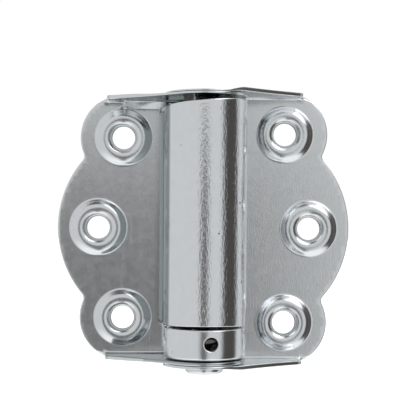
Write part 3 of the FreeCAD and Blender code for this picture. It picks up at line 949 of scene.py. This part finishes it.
@dataclass
class PintlePin:
    """The rivet through the four ears: a button head below and a peened end above."""

    radius: float = 3.0
    head_seat: float = 31.65
    head_radius: float = 4.35
    head_height: float = 1.95
    head_edge: float = 1.0
    head_crown: float = 0.12
    peen_seat: float = 31.1
    peen_radius: float = 3.7
    peen_height: float = 0.5
    columns: int = 120

    def dome(self, radius: float, height: float, steps: int) -> list[Point]:
        """Radius and rise of a low dome from its centre to its rounded edge."""
        sphere = (radius**2 + height**2) / (2.0 * height)
        points = []
        for share in np.linspace(0.0, 0.94, steps):
            reach = radius * float(share)
            points.append((reach, math.sqrt(sphere**2 - reach**2) - (sphere - height)))
        last = points[-1]
        return points + [(radius * 0.985, last[1] * 0.55), (radius, last[1] * 0.2), (radius * 0.985, 0.0)]

    def button(self) -> list[Point]:
        """Radius and rise of the head, from its crowned face over its rounded edge to the seat."""
        flat, edge, crown = self.head_radius - self.head_edge, self.head_edge, self.head_crown
        face = [(flat * s, self.head_height - crown * s**2) for s in np.linspace(0.0, 1.0, 8)]
        low = self.head_height - crown - edge
        turns = np.linspace(0.12, 0.5, 10) * math.pi
        rim = [(flat + edge * math.sin(t), low + edge * math.cos(t)) for t in turns]
        return face + rim + [(self.head_radius, low / 2.0), (self.head_radius, 0.0)]

    def build(self, name: str) -> bpy.types.Object:
        """Turn the rivet's profile about the pin's axis."""
        head = [(r, -self.head_seat - h) for r, h in self.button()]
        peen = [(r, self.peen_seat + h) for r, h in self.dome(self.peen_radius, self.peen_height, 12)]
        shank = [(self.radius, -self.head_seat), (self.radius, 0.0), (self.radius, self.peen_seat)]
        profile = head + shank + peen[::-1]
        vertices: list[tuple[float, float, float]] = [(0.0, 0.0, profile[0][1])]
        for radius, height in profile[1:-1]:
            for i in range(self.columns):
                angle = 2.0 * math.pi * i / self.columns
                vertices.append((radius * math.cos(angle), radius * math.sin(angle), height))
        vertices.append((0.0, 0.0, profile[-1][1]))
        rings = len(profile) - 2
        faces: list[tuple[int, ...]] = []
        for i in range(self.columns):
            j = (i + 1) % self.columns
            faces.append((0, 1 + j, 1 + i))
            for ring in range(rings - 1):
                low, high = 1 + ring * self.columns, 1 + (ring + 1) * self.columns
                faces.append((low + i, low + j, high + j, high + i))
            top = 1 + (rings - 1) * self.columns
            faces.append((top + i, top + j, len(vertices) - 1))
        return finished_mesh(name, np.array(vertices), faces)


class NodeSheet:
    """A node tree that is filled by short calls."""

    def __init__(self, tree: bpy.types.NodeTree) -> None:
        """Hold the tree to fill."""
        self.tree = tree

    def add(self, kind: str, settings: dict | None = None, **inputs: object) -> bpy.types.Node:
        """Add a node.

        Args:
            kind: Blender's name for the node's type.
            settings: Properties of the node.
            **inputs: Values or sockets for its inputs, by name with underscores for spaces,
                or by _ and a number.

        Returns:
            The node.
        """
        node = self.tree.nodes.new(kind)
        for key, value in (settings or {}).items():
            setattr(node, key, value)
        for key, value in inputs.items():
            name = int(key[1:]) if key[1:].isdigit() else key.replace("_", " ")
            self.feed(node.inputs[name], value)
        return node

    def feed(self, socket: bpy.types.NodeSocket, value: object) -> None:
        """Set a socket, or link another socket or a node's first output to it."""
        if isinstance(value, bpy.types.Node):
            value = value.outputs[0]
        if isinstance(value, bpy.types.NodeSocket):
            self.tree.links.new(value, socket)
        else:
            socket.default_value = value

    def maths(self, operation: str, first: object, second: object = 0.0) -> bpy.types.NodeSocket:
        """The result of one sum."""
        node = self.add("ShaderNodeMath", {"operation": operation}, _0=first, _1=second)
        return node.outputs[0]

    def mix(self, share: object, first: object, second: object) -> bpy.types.NodeSocket:
        """A colour between two, by a share from 0 to 1."""
        node = self.add("ShaderNodeMix", {"data_type": "RGBA"}, _0=share, _6=first, _7=second)
        return node.outputs[2]


@dataclass
class TorsionSpring:
    """The coil round the pin, between a foot leg in the collar and a head leg in the barrel leaf."""

    coil_radius: float = 6.8
    wire_radius: float = 1.0
    turns: float = 14.0
    foot_height: float = -27.51
    head_height: float = 27.7
    foot_leg: float = 5.82
    head_leg: float = 9.6
    points: int = 640

    def sizes(self) -> dict[str, float]:
        """The spring's sizes by the names of the tree's inputs, with lengths in metres."""
        return {
            "Coil Radius": self.coil_radius * MM,
            "Wire Radius": self.wire_radius * MM,
            "Turns": self.turns,
            "Foot Height": self.foot_height * MM,
            "Head Height": self.head_height * MM,
            "Foot Leg": self.foot_leg * MM,
            "Head Leg": self.head_leg * MM,
        }

    def tree(self) -> bpy.types.NodeTree:
        """The geometry nodes that wind the wire, with the spring's sizes as inputs."""
        tree = bpy.data.node_groups.new("wound_wire", "GeometryNodeTree")
        sockets = tree.interface
        sockets.new_socket("Geometry", in_out="INPUT", socket_type="NodeSocketGeometry")
        for name in self.sizes():
            sockets.new_socket(name, in_out="INPUT", socket_type="NodeSocketFloat")
        sockets.new_socket("Points", in_out="INPUT", socket_type="NodeSocketInt")
        sockets.new_socket("Material", in_out="INPUT", socket_type="NodeSocketMaterial")
        sockets.new_socket("Geometry", in_out="OUTPUT", socket_type="NodeSocketGeometry")
        sheet = NodeSheet(tree)
        size = sheet.add("NodeGroupInput").outputs
        maths = sheet.maths
        coil = maths("MULTIPLY", maths("MULTIPLY", size["Turns"], 2.0 * math.pi), size["Coil Radius"])
        both = maths("ADD", maths("ADD", coil, size["Foot Leg"]), size["Head Leg"])
        run = maths("MULTIPLY", sheet.add("GeometryNodeSplineParameter").outputs["Factor"], both)
        past_foot = maths("SUBTRACT", run, size["Foot Leg"])
        before = maths("MAXIMUM", maths("MULTIPLY", past_foot, -1.0), 0.0)
        after = maths("MAXIMUM", maths("SUBTRACT", past_foot, coil), 0.0)
        share = maths("MINIMUM", maths("MAXIMUM", maths("DIVIDE", past_foot, coil), 0.0), 1.0)
        turn = maths("MULTIPLY", maths("MULTIPLY", share, size["Turns"]), 2.0 * math.pi)
        angle = maths("ADD", turn, math.pi / 2.0)
        across = maths("MULTIPLY", maths("COSINE", angle), size["Coil Radius"])
        across = maths("SUBTRACT", maths("ADD", across, before), after)
        depth = maths("MULTIPLY", maths("SINE", angle), size["Coil Radius"])
        rise = maths("MULTIPLY", share, maths("SUBTRACT", size["Head Height"], size["Foot Height"]))
        height = maths("ADD", rise, size["Foot Height"])
        spot = sheet.add("ShaderNodeCombineXYZ", X=across, Y=depth, Z=height)
        line = sheet.add("GeometryNodeCurvePrimitiveLine")
        path = sheet.add("GeometryNodeResampleCurve", Curve=line, Count=size["Points"])
        wound = sheet.add("GeometryNodeSetPosition", Geometry=path, Position=spot)
        section = sheet.add("GeometryNodeCurvePrimitiveCircle", Resolution=14, Radius=size["Wire Radius"])
        wire = sheet.add("GeometryNodeCurveToMesh", Curve=wound, Profile_Curve=section, Fill_Caps=True)
        smooth = sheet.add("GeometryNodeSetShadeSmooth", Geometry=wire)
        real = sheet.add("GeometryNodeRealizeInstances", Geometry=smooth)
        dressed = sheet.add("GeometryNodeSetMaterial", Geometry=real, Material=size["Material"])
        sheet.add("NodeGroupOutput", Geometry=dressed)
        return tree

    def build(self, name: str, material: bpy.types.Material) -> bpy.types.Object:
        """Wind the spring and turn the result into a plain mesh.

        Args:
            name: Name of the new object.
            material: Finish of the wire.

        Returns:
            The spring, in metres.
        """
        made = bpy.data.objects.new(name, bpy.data.meshes.new(f"{name}_seed"))
        bpy.context.scene.collection.objects.link(made)
        modifier = made.modifiers.new("winding", "NODES")
        tree = self.tree()
        values = {**self.sizes(), "Points": self.points, "Material": material}
        modifier.node_group = tree
        for socket in tree.interface.items_tree:
            if socket.in_out == "INPUT" and socket.name in values:
                modifier[socket.identifier] = values[socket.name]
        bpy.context.view_layer.update()
        graph = bpy.context.evaluated_depsgraph_get()
        mesh = bpy.data.meshes.new_from_object(made.evaluated_get(graph))
        made.modifiers.remove(modifier)
        made.data = mesh
        return made


# Per-point share of painted shade on the leaves: hole walls and creases are darkened towards a shade colour
# as if in shadow.
PAINTED_SHADE_ATTRIBUTE = "painted_shade"


@dataclass(frozen=True)
class PlatingPattern:
    """The shared pattern of zinc plating: clouds, a drawn grain, sparse pits and hairline scratches."""

    cloud_range: Point = (0.32, 0.68)
    grain_range: Point = (0.25, 0.75)
    pit_fineness: float = 0.45
    pit_softness: float = 0.03
    hair_range: Point = (0.69, 0.74)
    hair_turn: tuple[float, float, float] = (0.0, 0.5, 0.9)
    hair_stretch: tuple[float, float, float] = (1.0, 1.0, 0.04)

    def group(self) -> bpy.types.NodeTree:
        """Build the pattern as a node group, with its scales as inputs."""
        tree = bpy.data.node_groups.new("zinc_plating", "ShaderNodeTree")
        sockets = tree.interface
        sockets.new_socket("Vector", in_out="INPUT", socket_type="NodeSocketVector")
        for name in ("Cloud Scale", "Grain Scale", "Pit Share", "Scratch Scale"):
            sockets.new_socket(name, in_out="INPUT", socket_type="NodeSocketFloat")
        sockets.new_socket("Drawing", in_out="INPUT", socket_type="NodeSocketVector")
        for name in ("Clouds", "Grain", "Pits", "Scratches"):
            sockets.new_socket(name, in_out="OUTPUT", socket_type="NodeSocketFloat")
        sheet = NodeSheet(tree)
        given = sheet.add("NodeGroupInput").outputs
        spot = given["Vector"]
        drawn = sheet.add("ShaderNodeVectorMath", {"operation": "MULTIPLY"}, _0=spot, _1=given["Drawing"])
        clouds = sheet.add(
            "ShaderNodeTexNoise", Vector=spot, Scale=given["Cloud Scale"], Detail=5.0, Roughness=0.62
        )
        grain = sheet.add(
            "ShaderNodeTexNoise", Vector=drawn, Scale=given["Grain Scale"], Detail=3.0, Roughness=0.6
        )
        pit_scale = sheet.maths("MULTIPLY", given["Grain Scale"], self.pit_fineness)
        pits = sheet.add("ShaderNodeTexNoise", Vector=spot, Scale=pit_scale, Detail=1.0)
        pit_limit = sheet.maths("SUBTRACT", 1.0, given["Pit Share"])
        pit_end = sheet.maths("ADD", pit_limit, self.pit_softness)
        slant = sheet.add("ShaderNodeMapping", Vector=spot, Rotation=self.hair_turn, Scale=self.hair_stretch)
        hairs = sheet.add("ShaderNodeTexNoise", Vector=slant, Scale=given["Scratch Scale"], Detail=1.0)
        out = sheet.add("NodeGroupOutput")
        for name, noise, (low, high) in (
            ("Clouds", clouds, self.cloud_range),
            ("Grain", grain, self.grain_range),
            ("Pits", pits, (pit_limit, pit_end)),
            ("Scratches", hairs, self.hair_range),
        ):
            spread = sheet.add("ShaderNodeMapRange", Value=noise, From_Min=low, From_Max=high)
            sheet.feed(out.inputs[name], spread)
        return tree


@dataclass(frozen=True)
class SteelFinish:
    """A steel surface, from dull plated sheet to bright turned metal and oiled wire."""

    name: str
    bright: tuple[float, float, float, float] = (0.85, 0.87, 0.89, 1.0)
    darker: tuple[float, float, float, float] = (0.81, 0.835, 0.85, 1.0)
    pit_colour: tuple[float, float, float, float] = (0.20, 0.17, 0.14, 1.0)
    # Painted shade: the colour that hole walls and creases are darkened towards.
    painted_shade_colour: tuple[float, float, float, float] = (0.34, 0.375, 0.38, 1.0)
    smooth_roughness: float = 0.20
    rough_roughness: float = 0.34
    cloud_scale: float = 420.0
    grain_scale: float = 3600.0
    pit_share: float = 0.22
    scratch_scale: float = 1500.0
    drawing: tuple[float, float, float] = (1.0, 1.0, 0.35)
    grain_depth: float = 0.010
    scratch_depth: float = 0.004
    grain_weight: float = 0.55
    cloud_weight: float = 0.45

    def material(self, plating: bpy.types.NodeTree) -> bpy.types.Material:
        """Build the material.

        Args:
            plating: The shared plating pattern.

        Returns:
            The material.
        """
        made = bpy.data.materials.new(self.name)
        made.use_nodes = True
        sheet = NodeSheet(made.node_tree)
        made.node_tree.nodes.clear()
        spot = sheet.add("ShaderNodeTexCoord").outputs["Object"]
        pattern = sheet.add("ShaderNodeGroup", {"node_tree": plating})
        for name, value in (
            ("Vector", spot),
            ("Cloud Scale", self.cloud_scale),
            ("Grain Scale", self.grain_scale),
            ("Pit Share", self.pit_share),
            ("Scratch Scale", self.scratch_scale),
            ("Drawing", self.drawing),
        ):
            sheet.feed(pattern.inputs[name], value)
        found = pattern.outputs
        tone = sheet.mix(found["Clouds"], self.darker, self.bright)
        pitted = sheet.mix(found["Pits"], tone, self.pit_colour)
        from_grain = sheet.maths("MULTIPLY", found["Grain"], self.grain_weight)
        from_clouds = sheet.maths("MULTIPLY", found["Clouds"], self.cloud_weight)
        blended = sheet.maths("ADD", from_grain, from_clouds)
        rough = sheet.add(
            "ShaderNodeMapRange", Value=blended, To_Min=self.smooth_roughness, To_Max=self.rough_roughness
        )
        fine = sheet.add(
            "ShaderNodeBump", Strength=1.0, Distance=self.grain_depth * MM, Height=found["Grain"]
        )
        scored = sheet.add(
            "ShaderNodeBump",
            {"invert": True},
            Strength=1.0,
            Distance=self.scratch_depth * MM,
            Height=found["Scratches"],
            Normal=fine,
        )
        # Painted shade: mix the base colour towards the shade colour by the leaf's painted shade share.
        painted_shade_mask = sheet.add("ShaderNodeAttribute", {"attribute_name": PAINTED_SHADE_ATTRIBUTE}).outputs["Fac"]
        shaded_tone = sheet.mix(painted_shade_mask, pitted, self.painted_shade_colour)
        shader = sheet.add(
            "ShaderNodeBsdfPrincipled",
            Base_Color=shaded_tone,
            Metallic=1.0,
            Roughness=rough,
            Normal=scored,
        )
        sheet.add("ShaderNodeOutputMaterial", Surface=shader)
        return made


SHEET_ZINC = SteelFinish("sheet_zinc", smooth_roughness=0.17, rough_roughness=0.25, grain_depth=0.006)
BARREL_ZINC = SteelFinish(
    "rolled_zinc",
    smooth_roughness=0.06,
    rough_roughness=0.14,
    drawing=(1.0, 1.0, 0.4),
    grain_depth=0.03,
    grain_scale=2100.0,
)
COLLAR_ZINC = SteelFinish("turned_zinc", smooth_roughness=0.10, rough_roughness=0.18, drawing=(1.0, 1.0, 1.6))
RIVET_ZINC = SteelFinish("rivet_zinc", smooth_roughness=0.14, rough_roughness=0.26, drawing=(1.0, 1.0, 1.0))
SPRING_STEEL = SteelFinish(
    "oiled_spring_steel",
    bright=(0.30, 0.29, 0.28, 1.0),
    darker=(0.16, 0.15, 0.145, 1.0),
    smooth_roughness=0.28,
    rough_roughness=0.45,
)


@dataclass(frozen=True)
class DarkPatch:
    """A stretch of the room without light, by its angles round the hinge and above it, in degrees."""

    azimuth: tuple[float, float]
    elevation: tuple[float, float]
    softness: float
    depth: float = 1.0

    def mask(
        self, sheet: NodeSheet, around: bpy.types.NodeSocket, above: bpy.types.NodeSocket
    ) -> bpy.types.NodeSocket:
        """Where the patch lies.

        Args:
            sheet: The room's nodes.
            around: Angle round the hinge.
            above: Angle above the horizon.

        Returns:
            A mask of 1 inside the patch and 0 outside.
        """
        sides = []
        for angle, (low, high) in ((around, self.azimuth), (above, self.elevation)):
            for edge, values in ((low, (0.0, 1.0)), (high, (1.0, 0.0))):
                side = sheet.add(
                    "ShaderNodeMapRange",
                    {"interpolation_type": "SMOOTHSTEP"},
                    Value=angle,
                    From_Min=edge - self.softness,
                    From_Max=edge + self.softness,
                    To_Min=values[0],
                    To_Max=values[1],
                )
                sides.append(side.outputs[0])
        mask: bpy.types.NodeSocket | float = self.depth
        for side in sides:
            mask = sheet.maths("MULTIPLY", side, mask)
        return mask


@dataclass
class Softbox:
    """One large soft light, aimed at the hinge from an angle round it."""

    name: str = "upper_right_softbox"
    azimuth: float = 50.0
    elevation: float = 46.0
    width: float = 0.62
    height: float = 0.62
    radiance: float = 1.4
    distance: float = 0.9

    def build(self) -> bpy.types.Object:
        """Hang the light."""
        lamp = bpy.data.lights.new(self.name, "AREA")
        lamp.shape = "RECTANGLE"
        lamp.size, lamp.size_y = self.width, self.height
        lamp.energy = self.radiance * math.pi * self.width * self.height
        made = bpy.data.objects.new(self.name, lamp)
        around, above = math.radians(self.azimuth), math.radians(self.elevation)
        level = math.cos(above)
        away = Vector((math.sin(around) * level, -math.cos(around) * level, math.sin(above)))
        made.location = away * self.distance
        made.rotation_euler = away.to_track_quat("Z", "Y").to_euler()
        made.visible_camera = False
        bpy.context.scene.collection.objects.link(made)
        return made


@dataclass
class Studio:
    """The pale floor, the white room with its dark patches, one softbox and the camera."""

    floor_height: float = -33.65
    floor_size: float = 3.0
    paper_colour: tuple[float, float, float, float] = (0.92, 0.92, 0.92, 1.0)
    paper_roughness: float = 0.9
    paper_glow: float = 0.75
    camera_distance: float = 255.2
    camera_azimuth: float = math.radians(-2.0)
    camera_aside: float = 0.66
    camera_roll: float = math.radians(-0.43)
    focal_length: float = 95.5
    frame_shift: float = 20.0 / 416.0
    room_light: float = 0.66
    table_light: float = 1.05
    table_edge: Point = (-55.0, -25.0)
    backdrop_light: float = 1.02
    room_colour: tuple[float, float, float, float] = (0.985, 1.0, 1.0, 1.0)
    dark_colour: tuple[float, float, float, float] = (0.075, 0.070, 0.066, 1.0)
    patches: tuple[DarkPatch, ...] = (
        DarkPatch((-13.0, 6.0), (-60.0, 4.4), 3.0, 0.88),
        DarkPatch((49.0, 97.0), (-40.0, 34.0), 4.0),
        DarkPatch((-70.0, 10.0), (56.0, 84.0), 6.0),
        DarkPatch((150.0, 190.0), (-20.0, 4.0), 4.0),
        DarkPatch((-190.0, -150.0), (-20.0, 4.0), 4.0),
    )
    softbox: Softbox = field(default_factory=Softbox)

    def floor(self) -> bpy.types.Object:
        """A pale floor that runs out of sight and stays out of the metal's reflections."""
        size, level = self.floor_size, self.floor_height * MM
        mesh = bpy.data.meshes.new("pale_floor")
        corners = [(-size, -size, level), (size, -size, level), (size, size, level), (-size, size, level)]
        mesh.from_pydata(corners, [], [(0, 1, 2, 3)])
        made = bpy.data.objects.new("pale_floor", mesh)
        made.visible_glossy = False
        bpy.context.scene.collection.objects.link(made)
        pale = bpy.data.materials.new("pale_paper")
        pale.use_nodes = True
        shader = pale.node_tree.nodes["Principled BSDF"]
        shader.inputs["Base Color"].default_value = self.paper_colour
        shader.inputs["Roughness"].default_value = self.paper_roughness
        shader.inputs["Emission Color"].default_value = (1.0, 1.0, 1.0, 1.0)
        shader.inputs["Emission Strength"].default_value = self.paper_glow
        mesh.materials.append(pale)
        return made

    def surroundings(self) -> None:
        """A room that is white to the eye and has dark patches for the metal to mirror."""
        world = bpy.data.worlds.new("white_room")
        world.use_nodes = True
        sheet = NodeSheet(world.node_tree)
        world.node_tree.nodes.clear()
        outward = sheet.add("ShaderNodeTexCoord").outputs["Generated"]
        way = sheet.add("ShaderNodeSeparateXYZ", Vector=outward).outputs
        ahead = sheet.maths("MULTIPLY", way["Y"], -1.0)
        around = sheet.maths("DEGREES", sheet.maths("ARCTAN2", way["X"], ahead))
        above = sheet.maths("DEGREES", sheet.maths("ARCSINE", way["Z"]))
        dark: bpy.types.NodeSocket | float = 0.0
        for patch in self.patches:
            dark = sheet.maths("MAXIMUM", patch.mask(sheet, around, above), dark)
        below = sheet.add(
            "ShaderNodeMapRange",
            Value=above,
            From_Min=self.table_edge[0],
            From_Max=self.table_edge[1],
            To_Min=self.table_light,
            To_Max=self.room_light,
        )
        lit = sheet.add("ShaderNodeVectorMath", {"operation": "SCALE"}, _0=self.room_colour[:3], Scale=below)
        tone = sheet.mix(dark, lit, self.dark_colour)
        mirrored = sheet.add("ShaderNodeBackground", Color=tone, Strength=1.0)
        seen = sheet.add("ShaderNodeBackground", Color=(1.0, 1.0, 1.0, 1.0), Strength=self.backdrop_light)
        eye = sheet.add("ShaderNodeLightPath").outputs["Is Camera Ray"]
        both = sheet.add("ShaderNodeMixShader", _0=eye, _1=mirrored, _2=seen)
        sheet.add("ShaderNodeOutputWorld", Surface=both)
        bpy.context.scene.world = world

    def camera(self) -> None:
        """A camera all but square to the leaves, at the barrel's mid-height."""
        lens = bpy.data.cameras.new("face_on_camera")
        lens.sensor_width = 36.0
        lens.lens = self.focal_length
        lens.shift_y = self.frame_shift
        lens.clip_start, lens.clip_end = 0.01, 20.0
        made = bpy.data.objects.new("face_on_camera", lens)
        turn = Matrix.Rotation(self.camera_azimuth, 4, "Z")
        made.location = turn @ Vector((self.camera_aside, -self.camera_distance, 0.0)) * MM
        made.rotation_euler = (math.pi / 2.0, self.camera_roll, self.camera_azimuth)
        bpy.context.scene.collection.objects.link(made)
        bpy.context.scene.camera = made

    def build(self) -> None:
        """Set the whole studio."""
        self.floor()
        self.surroundings()
        self.softbox.build()
        self.camera()
        bpy.context.scene.view_settings.view_transform = "Standard"


def dress(piece: bpy.types.Object, node: str, body: str, *materials: bpy.types.Material) -> None:
    """Let a piece stand for a solid, ride its body and take its finish.

    Args:
        piece: The finished piece.
        node: The solid that it stands for, which is hidden.
        body: The body that it moves with.
        *materials: Its materials, in slot order.
    """
    for material in materials:
        piece.data.materials.append(material)
    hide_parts(node)
    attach(piece, body)
    LOG.info("%s: %d faces on %s", piece.name, len(piece.data.polygons), body)


@dataclass(frozen=True)
class PaintedShade:
    """Where shade is painted onto a leaf's plating: fades run from unshaded to fully shaded, ear_underside is
    a band of heights.
    """

    hole_wall: Point = (0.34, 0.12)
    bend_inside: Point = (-8.1, -8.5)
    bend_outside: Point = (-11.2, -10.5)
    bend_margin: float = 0.1
    fold_height: Point = (-29.5, -29.9)
    fold_depth: Point = (9.85, 9.5)
    fold_low: float = -30.4
    fold_share: float = 0.8
    ear_reach: Point = (-22.0, -20.0)
    ear_underside: Point = (30.0, 30.2)
    nose_reach: Point = (-10.3, -9.6)
    nose_back: float = 6.8
    nose_rise: float = 0.3
    nose_top: float = 31.0

    def mark(self, leaf: bpy.types.Object, shape: PressedLeaf) -> None:
        """Paint shade into the walls of a leaf's holes and, on the barrel leaf, into its bend, bottom fold,
        under its top ear and on the lip's nose.

        Args:
            leaf: The leaf's mesh.
            shape: The leaf's sizes.
        """
        mesh = leaf.data
        spots = np.empty(len(mesh.vertices) * 3)
        mesh.vertices.foreach_get("co", spots)
        across, depth, height = (spots / MM).reshape(-1, 3).T
        darker = np.zeros(len(across))
        # Painted shade: the walls of the screw holes are darkened as if in shadow.
        unshaded, full = (shape.hole_radius + margin for margin in self.hole_wall)
        for hole, level in shape.screw_holes:
            radius = np.hypot(across - shape.side.value * hole, height - level)
            darker = np.maximum(darker, 1.0 - ramp(radius, full, unshaded))
        if isinstance(shape, BarrelLeaf):
            for part in self.barrel_painted_shade(shape, across, depth, height):
                darker = np.maximum(darker, part)
        mesh.attributes.new(PAINTED_SHADE_ATTRIBUTE, "FLOAT", "POINT").data.foreach_set("value", darker)

    def barrel_painted_shade(
        self, shape: BarrelLeaf, across: np.ndarray, depth: np.ndarray, height: np.ndarray
    ) -> list[np.ndarray]:
        """Painted shade in the barrel leaf's creases, under its top ear and on the lip's nose.

        Args:
            shape: The leaf's sizes.
            across: Place of each point along X.
            depth: Place along Y.
            height: Place along Z.

        Returns:
            One array of painted shade for each place, from 0 to 1.
        """
        # Painted shade: the bend into the barrel, the bottom fold, the underside of the top ear and the lip's
        # nose are darkened where shadow and dark reflections fall.
        beside = ramp(across, *self.bend_inside) * ramp(across, *self.bend_outside)
        low, high = shape.barrel_bottom - self.bend_margin, shape.barrel_top + self.bend_margin
        beside *= (height > low) & (height < high)
        folded = ramp(height, *self.fold_height) * ramp(depth, *self.fold_depth) * (height > self.fold_low)
        under, over = self.ear_underside
        under_ear = ramp(across, *self.ear_reach) * ((height > under) & (height < over))
        nose = ramp(across, *self.nose_reach) * (depth > self.nose_back)
        nose = nose * (height > shape.lip_line + self.nose_rise) * (height < self.nose_top)
        return [beside, self.fold_share * folded, under_ear, nose]


def mark_barrel(leaf: bpy.types.Object, shape: BarrelLeaf) -> None:
    """Give the barrel's faces the second material of the leaf."""
    margin, side_margin = 0.2, 0.02
    low, high = (shape.barrel_bottom - margin) * MM, (shape.barrel_top + shape.top_rise + margin) * MM
    for face in leaf.data.polygons:
        spot = face.center
        near_pin = math.hypot(spot.x, spot.y) < (shape.barrel_radius + margin) * MM
        beside_pin = abs(spot.x) < (shape.barrel_radius + side_margin) * MM
        straight = spot.y < shape.side_length * MM and beside_pin
        if low < spot.z < high and (near_pin or straight):
            face.material_index = 1


def main() -> None:
    """Build every piece of the hinge and the studio."""
    logging.basicConfig(level=logging.INFO, format="%(name)s: %(message)s")
    plating = PlatingPattern().group()
    # Painted shade for the leaves' hole walls and the barrel leaf's creases.
    shade_painter = PaintedShade()
    left = BarrelLeaf(
        Side.LEFT, ear_inside=30.1, inner_edge=10.35, ear_coining=0.4, dish_start=10.0, dish_end=19.0
    )
    barrel_leaf = left.build("pressed_barrel_leaf")
    sheet_zinc, barrel_zinc = SHEET_ZINC.material(plating), BARREL_ZINC.material(plating)
    dress(barrel_leaf, "barrel_leaf", "fixed_side", sheet_zinc, barrel_zinc)
    mark_barrel(barrel_leaf, left)
    shade_painter.mark(barrel_leaf, left)
    right = PressedLeaf(
        Side.RIGHT, ear_inside=31.2, inner_edge=2.0, pin_hole_radius=3.05, ear_dish=0.48, ear_coining=0.6
    )
    swing_leaf = right.build("pressed_swing_leaf")
    dress(swing_leaf, "swing_leaf", "swing_side", SHEET_ZINC.material(plating))
    shade_painter.mark(swing_leaf, right)
    dress(TensionCollar().build("turned_collar"), "tension_collar", "collar", COLLAR_ZINC.material(plating))
    dress(PintlePin().build("rivet"), "pintle_pin", "fixed_side", RIVET_ZINC.material(plating))
    coil = TorsionSpring()
    spring = coil.build("wound_spring", SPRING_STEEL.material(plating))
    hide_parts("torsion_spring")
    head, foot = (0.0, 0.0, coil.head_height * MM), (0.0, 0.0, coil.foot_height * MM)
    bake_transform(spring)
    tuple(head)
    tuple(foot)
    LOG.info("%s: %d faces between fixed_side and collar", spring.name, len(spring.data.polygons))
    Studio().build()


if __name__ == "__main__":
    main()
